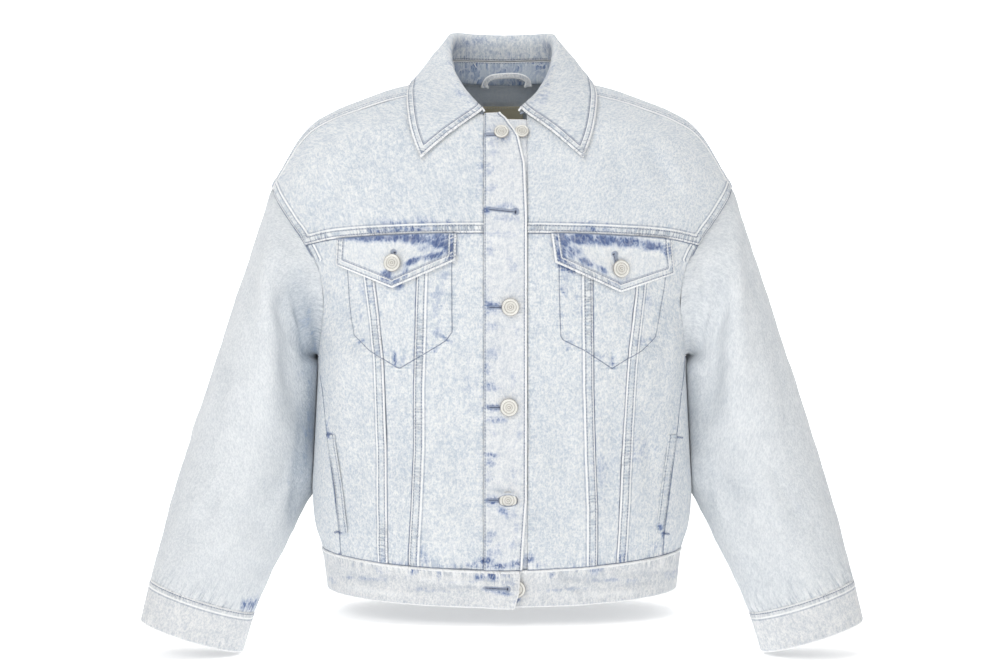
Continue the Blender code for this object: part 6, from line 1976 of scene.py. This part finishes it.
def stitching():
    """The rows of stitches along the seams."""
    found = []
    for points, ways in threads:
        along = np.concatenate([[0], np.cumsum(np.linalg.norm(np.diff(points, axis=0), axis=1))])
        starts = np.arange(STITCH_START, along[-1] - STITCH, STITCH + STITCH_GAP)
        stations = starts[:, None] + np.array([0, 0.5, 1]) * STITCH
        spot = np.stack([np.interp(stations, along, points[:, k]) for k in range(3)], axis=-1)
        face = np.stack([np.interp(stations[:, 1], along, ways[:, k]) for k in range(3)], axis=-1)
        found.append((spot[:, 0], spot[:, 1], spot[:, 2], face))
    spindles("stitching", *(np.concatenate([part[k] for part in found]) for k in range(4)), PALE_THREAD)


def on_face(cloth, places):
    """The points and outward directions of a cloth's outer face at places (x, z) seen from in front."""
    outer = (cloth.points + cloth.normals * (cloth.outer + cloth.lift)[..., None]).reshape(-1, 3)
    normals = cloth.normals.reshape(-1, 3)
    away = np.hypot(outer[None, :, 0] - places[:, :1], outer[None, :, 2] - places[:, 1:])
    near = np.argsort(away, axis=1)[:, :NEAREST]
    weight = 1 / (np.take_along_axis(away, near, axis=1) + 0.1)
    weight /= weight.sum(axis=1, keepdims=True)
    depth = (outer[near][..., 1] * weight).sum(axis=1)
    facing = unit((normals[near] * weight[..., None]).sum(axis=1))
    return np.stack([places[:, 0], depth, places[:, 1]], axis=-1), facing


def satin(name, material, bars):
    """Close stitches side by side over bars, each given as a cloth and both ends (x, z) of each stitch."""
    found = []
    for cloth, starts, ends in bars:
        first, face = on_face(cloth, starts)
        last, _ = on_face(cloth, ends)
        found.append((first, (first + last) / 2 + face * SATIN_RISE, last, face))
    spindles(name, *(np.concatenate([part[k] for part in found]) for k in range(4)), material)


def buttonhole_bar(cloth, closed, eye, radius):
    """The ends of the stitches round a buttonhole."""
    length = np.linalg.norm(eye - closed)
    way = (eye - closed) / length
    square = np.array([-way[1], way[0]])
    along = np.arange(0, length - radius, SATIN_SPACING)[:, None]
    turns = np.radians(np.arange(-EYE_TURN, EYE_TURN + 1, EYE_STEP))[:, None]
    out = np.cos(turns) * way + np.sin(turns) * square
    places = np.concatenate([closed + way * along, closed + way * along, eye + out * radius])
    ways = np.concatenate([square + 0 * along, -square + 0 * along, out])
    return cloth, places + ways * SATIN_FROM, places + ways * SATIN_TO


def slit_bar(cloth, closed, eye, radius):
    """The ends of the dark threads that stand for the painted shade in a buttonhole's opening."""
    length = np.linalg.norm(eye - closed)
    way = (eye - closed) / length
    along = np.arange(SLIT_START, length - 1, SLIT_STEP)[:, None]
    square = np.array([-way[1], way[0]])
    across = np.arange(-radius, radius + 0.1, SLIT_ACROSS)[:, None] * square * SLIT_NARROW
    half = way * radius * SLIT_EYE
    starts = np.concatenate([closed + way * along, eye + across - half])
    ends = np.concatenate([closed + way * (along + SLIT_STITCH), eye + across + half])
    return cloth, starts, ends


def bartack_bar(cloth, x, z, degrees, length, width):
    """The ends of the stitches of a short bar across the end of a seam."""
    way = np.array([math.cos(math.radians(degrees)), math.sin(math.radians(degrees))])
    square = np.array([-way[1], way[0]])
    along = np.arange(-length / 2, length / 2, BARTACK_SPACING)[:, None]
    middle = np.array([x, z]) + way * along
    return cloth, middle - square * width / 2, middle + square * width / 2


# Bars at the ends of seams, seen from in front: the piece, the place (x, z), the way they run in degrees,
# their length and their width.
BLUE_BARS = (
    ("front_side_right", -187, -385, 8, 7, 2.6), ("front_side_right", -177, -489, 8, 7, 2.6),
    ("front_side_left", 193, -388, -8, 7, 2.6), ("front_side_left", 177, -491, -8, 7, 2.6),
)
PALE_BARS = (
    ("front_side_right", -193, -200, -35, 9, 1.8), ("front_side_left", 192, -200, 35, 9, 1.8),
    ("front_side_right", -191.5, -340, 60, 4, 1.8), ("front_side_left", 196, -338, -60, 4, 1.8),
)


# ---------------------------------------------------------------- room, light and camera, all in metres

FLOOR_Z = -0.632
FLOOR_GLOW, WALL_GLOW = 0.45, 0.8  # how strongly the floor near the jacket and the far wall shine
GLOW_START, GLOW_END = 0.9, 2.2  # how far from the jacket the one goes over into the other
WALL_Y = 4.2
RISE, RISE_INNER, RISE_OUTER, RISE_DEEP = 0.048, 0.19, 0.265, 0.3  # how the floor rises under the body
# The floor and the wall as (y, height), and where their columns are.
ROOM_PROFILE = (
    (-6.0, 0), (-2.0, 0), (-0.45, 0), *((y, 0) for y in np.linspace(-0.4, 0.4, 41)), (0.45, 0), (1.0, 0),
    (1.5, 0), (2.2, 0), (WALL_Y - 0.7, 0.02), (WALL_Y - 0.35, 0.12), (WALL_Y - 0.1, 0.35), (WALL_Y, 0.7),
    (WALL_Y, 6.0),
)
ROOM_X = (-8.0, -2.2, -1.0, -0.45, *np.linspace(-0.4, 0.4, 61), 0.45, 1.0, 2.2, 8.0)


def room():
    """A plain pale floor, a little higher under the body, that curves up into a plain pale wall."""
    verts = []
    for y, z in ROOM_PROFILE:
        for x in ROOM_X:
            rise = RISE * eased(np.hypot(x, y * RISE_OUTER / RISE_DEEP), RISE_OUTER, RISE_INNER)
            verts.append((x, y, FLOOR_Z + z + float(rise)))
    wide = len(ROOM_X)
    faces = [(wide * i + j, wide * i + j + 1, wide * i + wide + j + 1, wide * i + wide + j)
             for i in range(len(ROOM_PROFILE) - 1) for j in range(wide - 1)]
    data = bpy.data.meshes.new("floor")
    data.from_pydata(verts, [], faces)
    data.shade_smooth()
    far = eased(np.hypot([x for x, _, _ in verts], [y for _, y, _ in verts]), GLOW_START, GLOW_END)
    add_attribute(data, "glow", np.stack([FLOOR_GLOW + (WALL_GLOW - FLOOR_GLOW) * far] * 3, axis=-1))
    s = Shader("floor")
    _, (glow, _, _) = s.attribute("glow")
    s.put(s.surface.inputs["Emission Strength"], glow)
    data.materials.append(s.finish(srgb(250, 250, 250), Roughness=0.95, Emission_Color=(1, 1, 1, 1)))
    floor = bpy.data.objects.new("floor", data)
    collection.objects.link(floor)


JACKET_MIDDLE = Vector((0, 0, -0.3))
WORLD_LIGHT = 0.3
SENSOR, LENS = 36, 70.15  # in millimetres
CAMERA_PLACE = (0.00224, -2.2, -0.278)


def lamp(name, place, size, energy):
    """A large soft lamp, aimed at the jacket."""
    light = bpy.data.lights.new(name, "AREA")
    light.shape = "RECTANGLE"
    light.size, light.size_y = size
    light.energy = energy
    thing = bpy.data.objects.new(name, light)
    thing.location = place
    thing.rotation_euler = (JACKET_MIDDLE - Vector(place)).to_track_quat("-Z", "Y").to_euler()
    collection.objects.link(thing)


def camera():
    """The camera in front of the jacket, as the picture was taken."""
    data = bpy.data.cameras.new("camera")
    data.sensor_width = SENSOR
    data.lens = LENS
    thing = bpy.data.objects.new("camera", data)
    thing.location = CAMERA_PLACE
    thing.rotation_euler = (math.pi / 2, 0, 0)
    collection.objects.link(thing)
    bpy.context.scene.camera = thing


def studio():
    """Soft light from above and both sides, and a plain pale world."""
    lamp("key", (-1.4, -2.2, 1.4), (1.5, 1.5), 26.5)
    lamp("fill", (0.9, -2.8, 0.4), (2.0, 2.0), 14.5)
    lamp("top", (0, 0, 2.0), (2.0, 1.6), 20)
    world = bpy.data.worlds.new("studio")
    world.use_nodes = True
    background = world.node_tree.nodes["Background"]
    background.inputs["Color"].default_value = (1, 1, 1, 1)
    background.inputs["Strength"].default_value = WORLD_LIGHT
    bpy.context.scene.world = world
    bpy.context.scene.view_settings.view_transform = "Standard"


def build():
    """Everything, each piece once."""
    camera()
    room()
    studio()
    for side in (-1, 1):
        front_yoke(side)
        front_panels(side)
        side_panel(side)
        waistband_front(side)
        sleeve(side)
        cuff(side)
        pocket_flap(side)
        pocket_bag(side)
        pocket_welt(side)
    back_yoke()
    back_panel()
    waistband_back()
    plackets()
    collar()
    hang_loop()
    neck_label()
    for name in BUTTONS:
        button(name)
    stitching()
    satin("buttonholes", HOLE_THREAD, [buttonhole_bar(*hole) for hole in holes])
    satin("buttonhole_slits", SLIT_SHADE, [slit_bar(*hole) for hole in holes])
    satin("bartacks_blue", BLUE_THREAD, [bartack_bar(sewn[bar[0]], *bar[1:]) for bar in BLUE_BARS])
    satin("bartacks_pale", PALE_THREAD, [bartack_bar(sewn[bar[0]], *bar[1:]) for bar in PALE_BARS])


build()
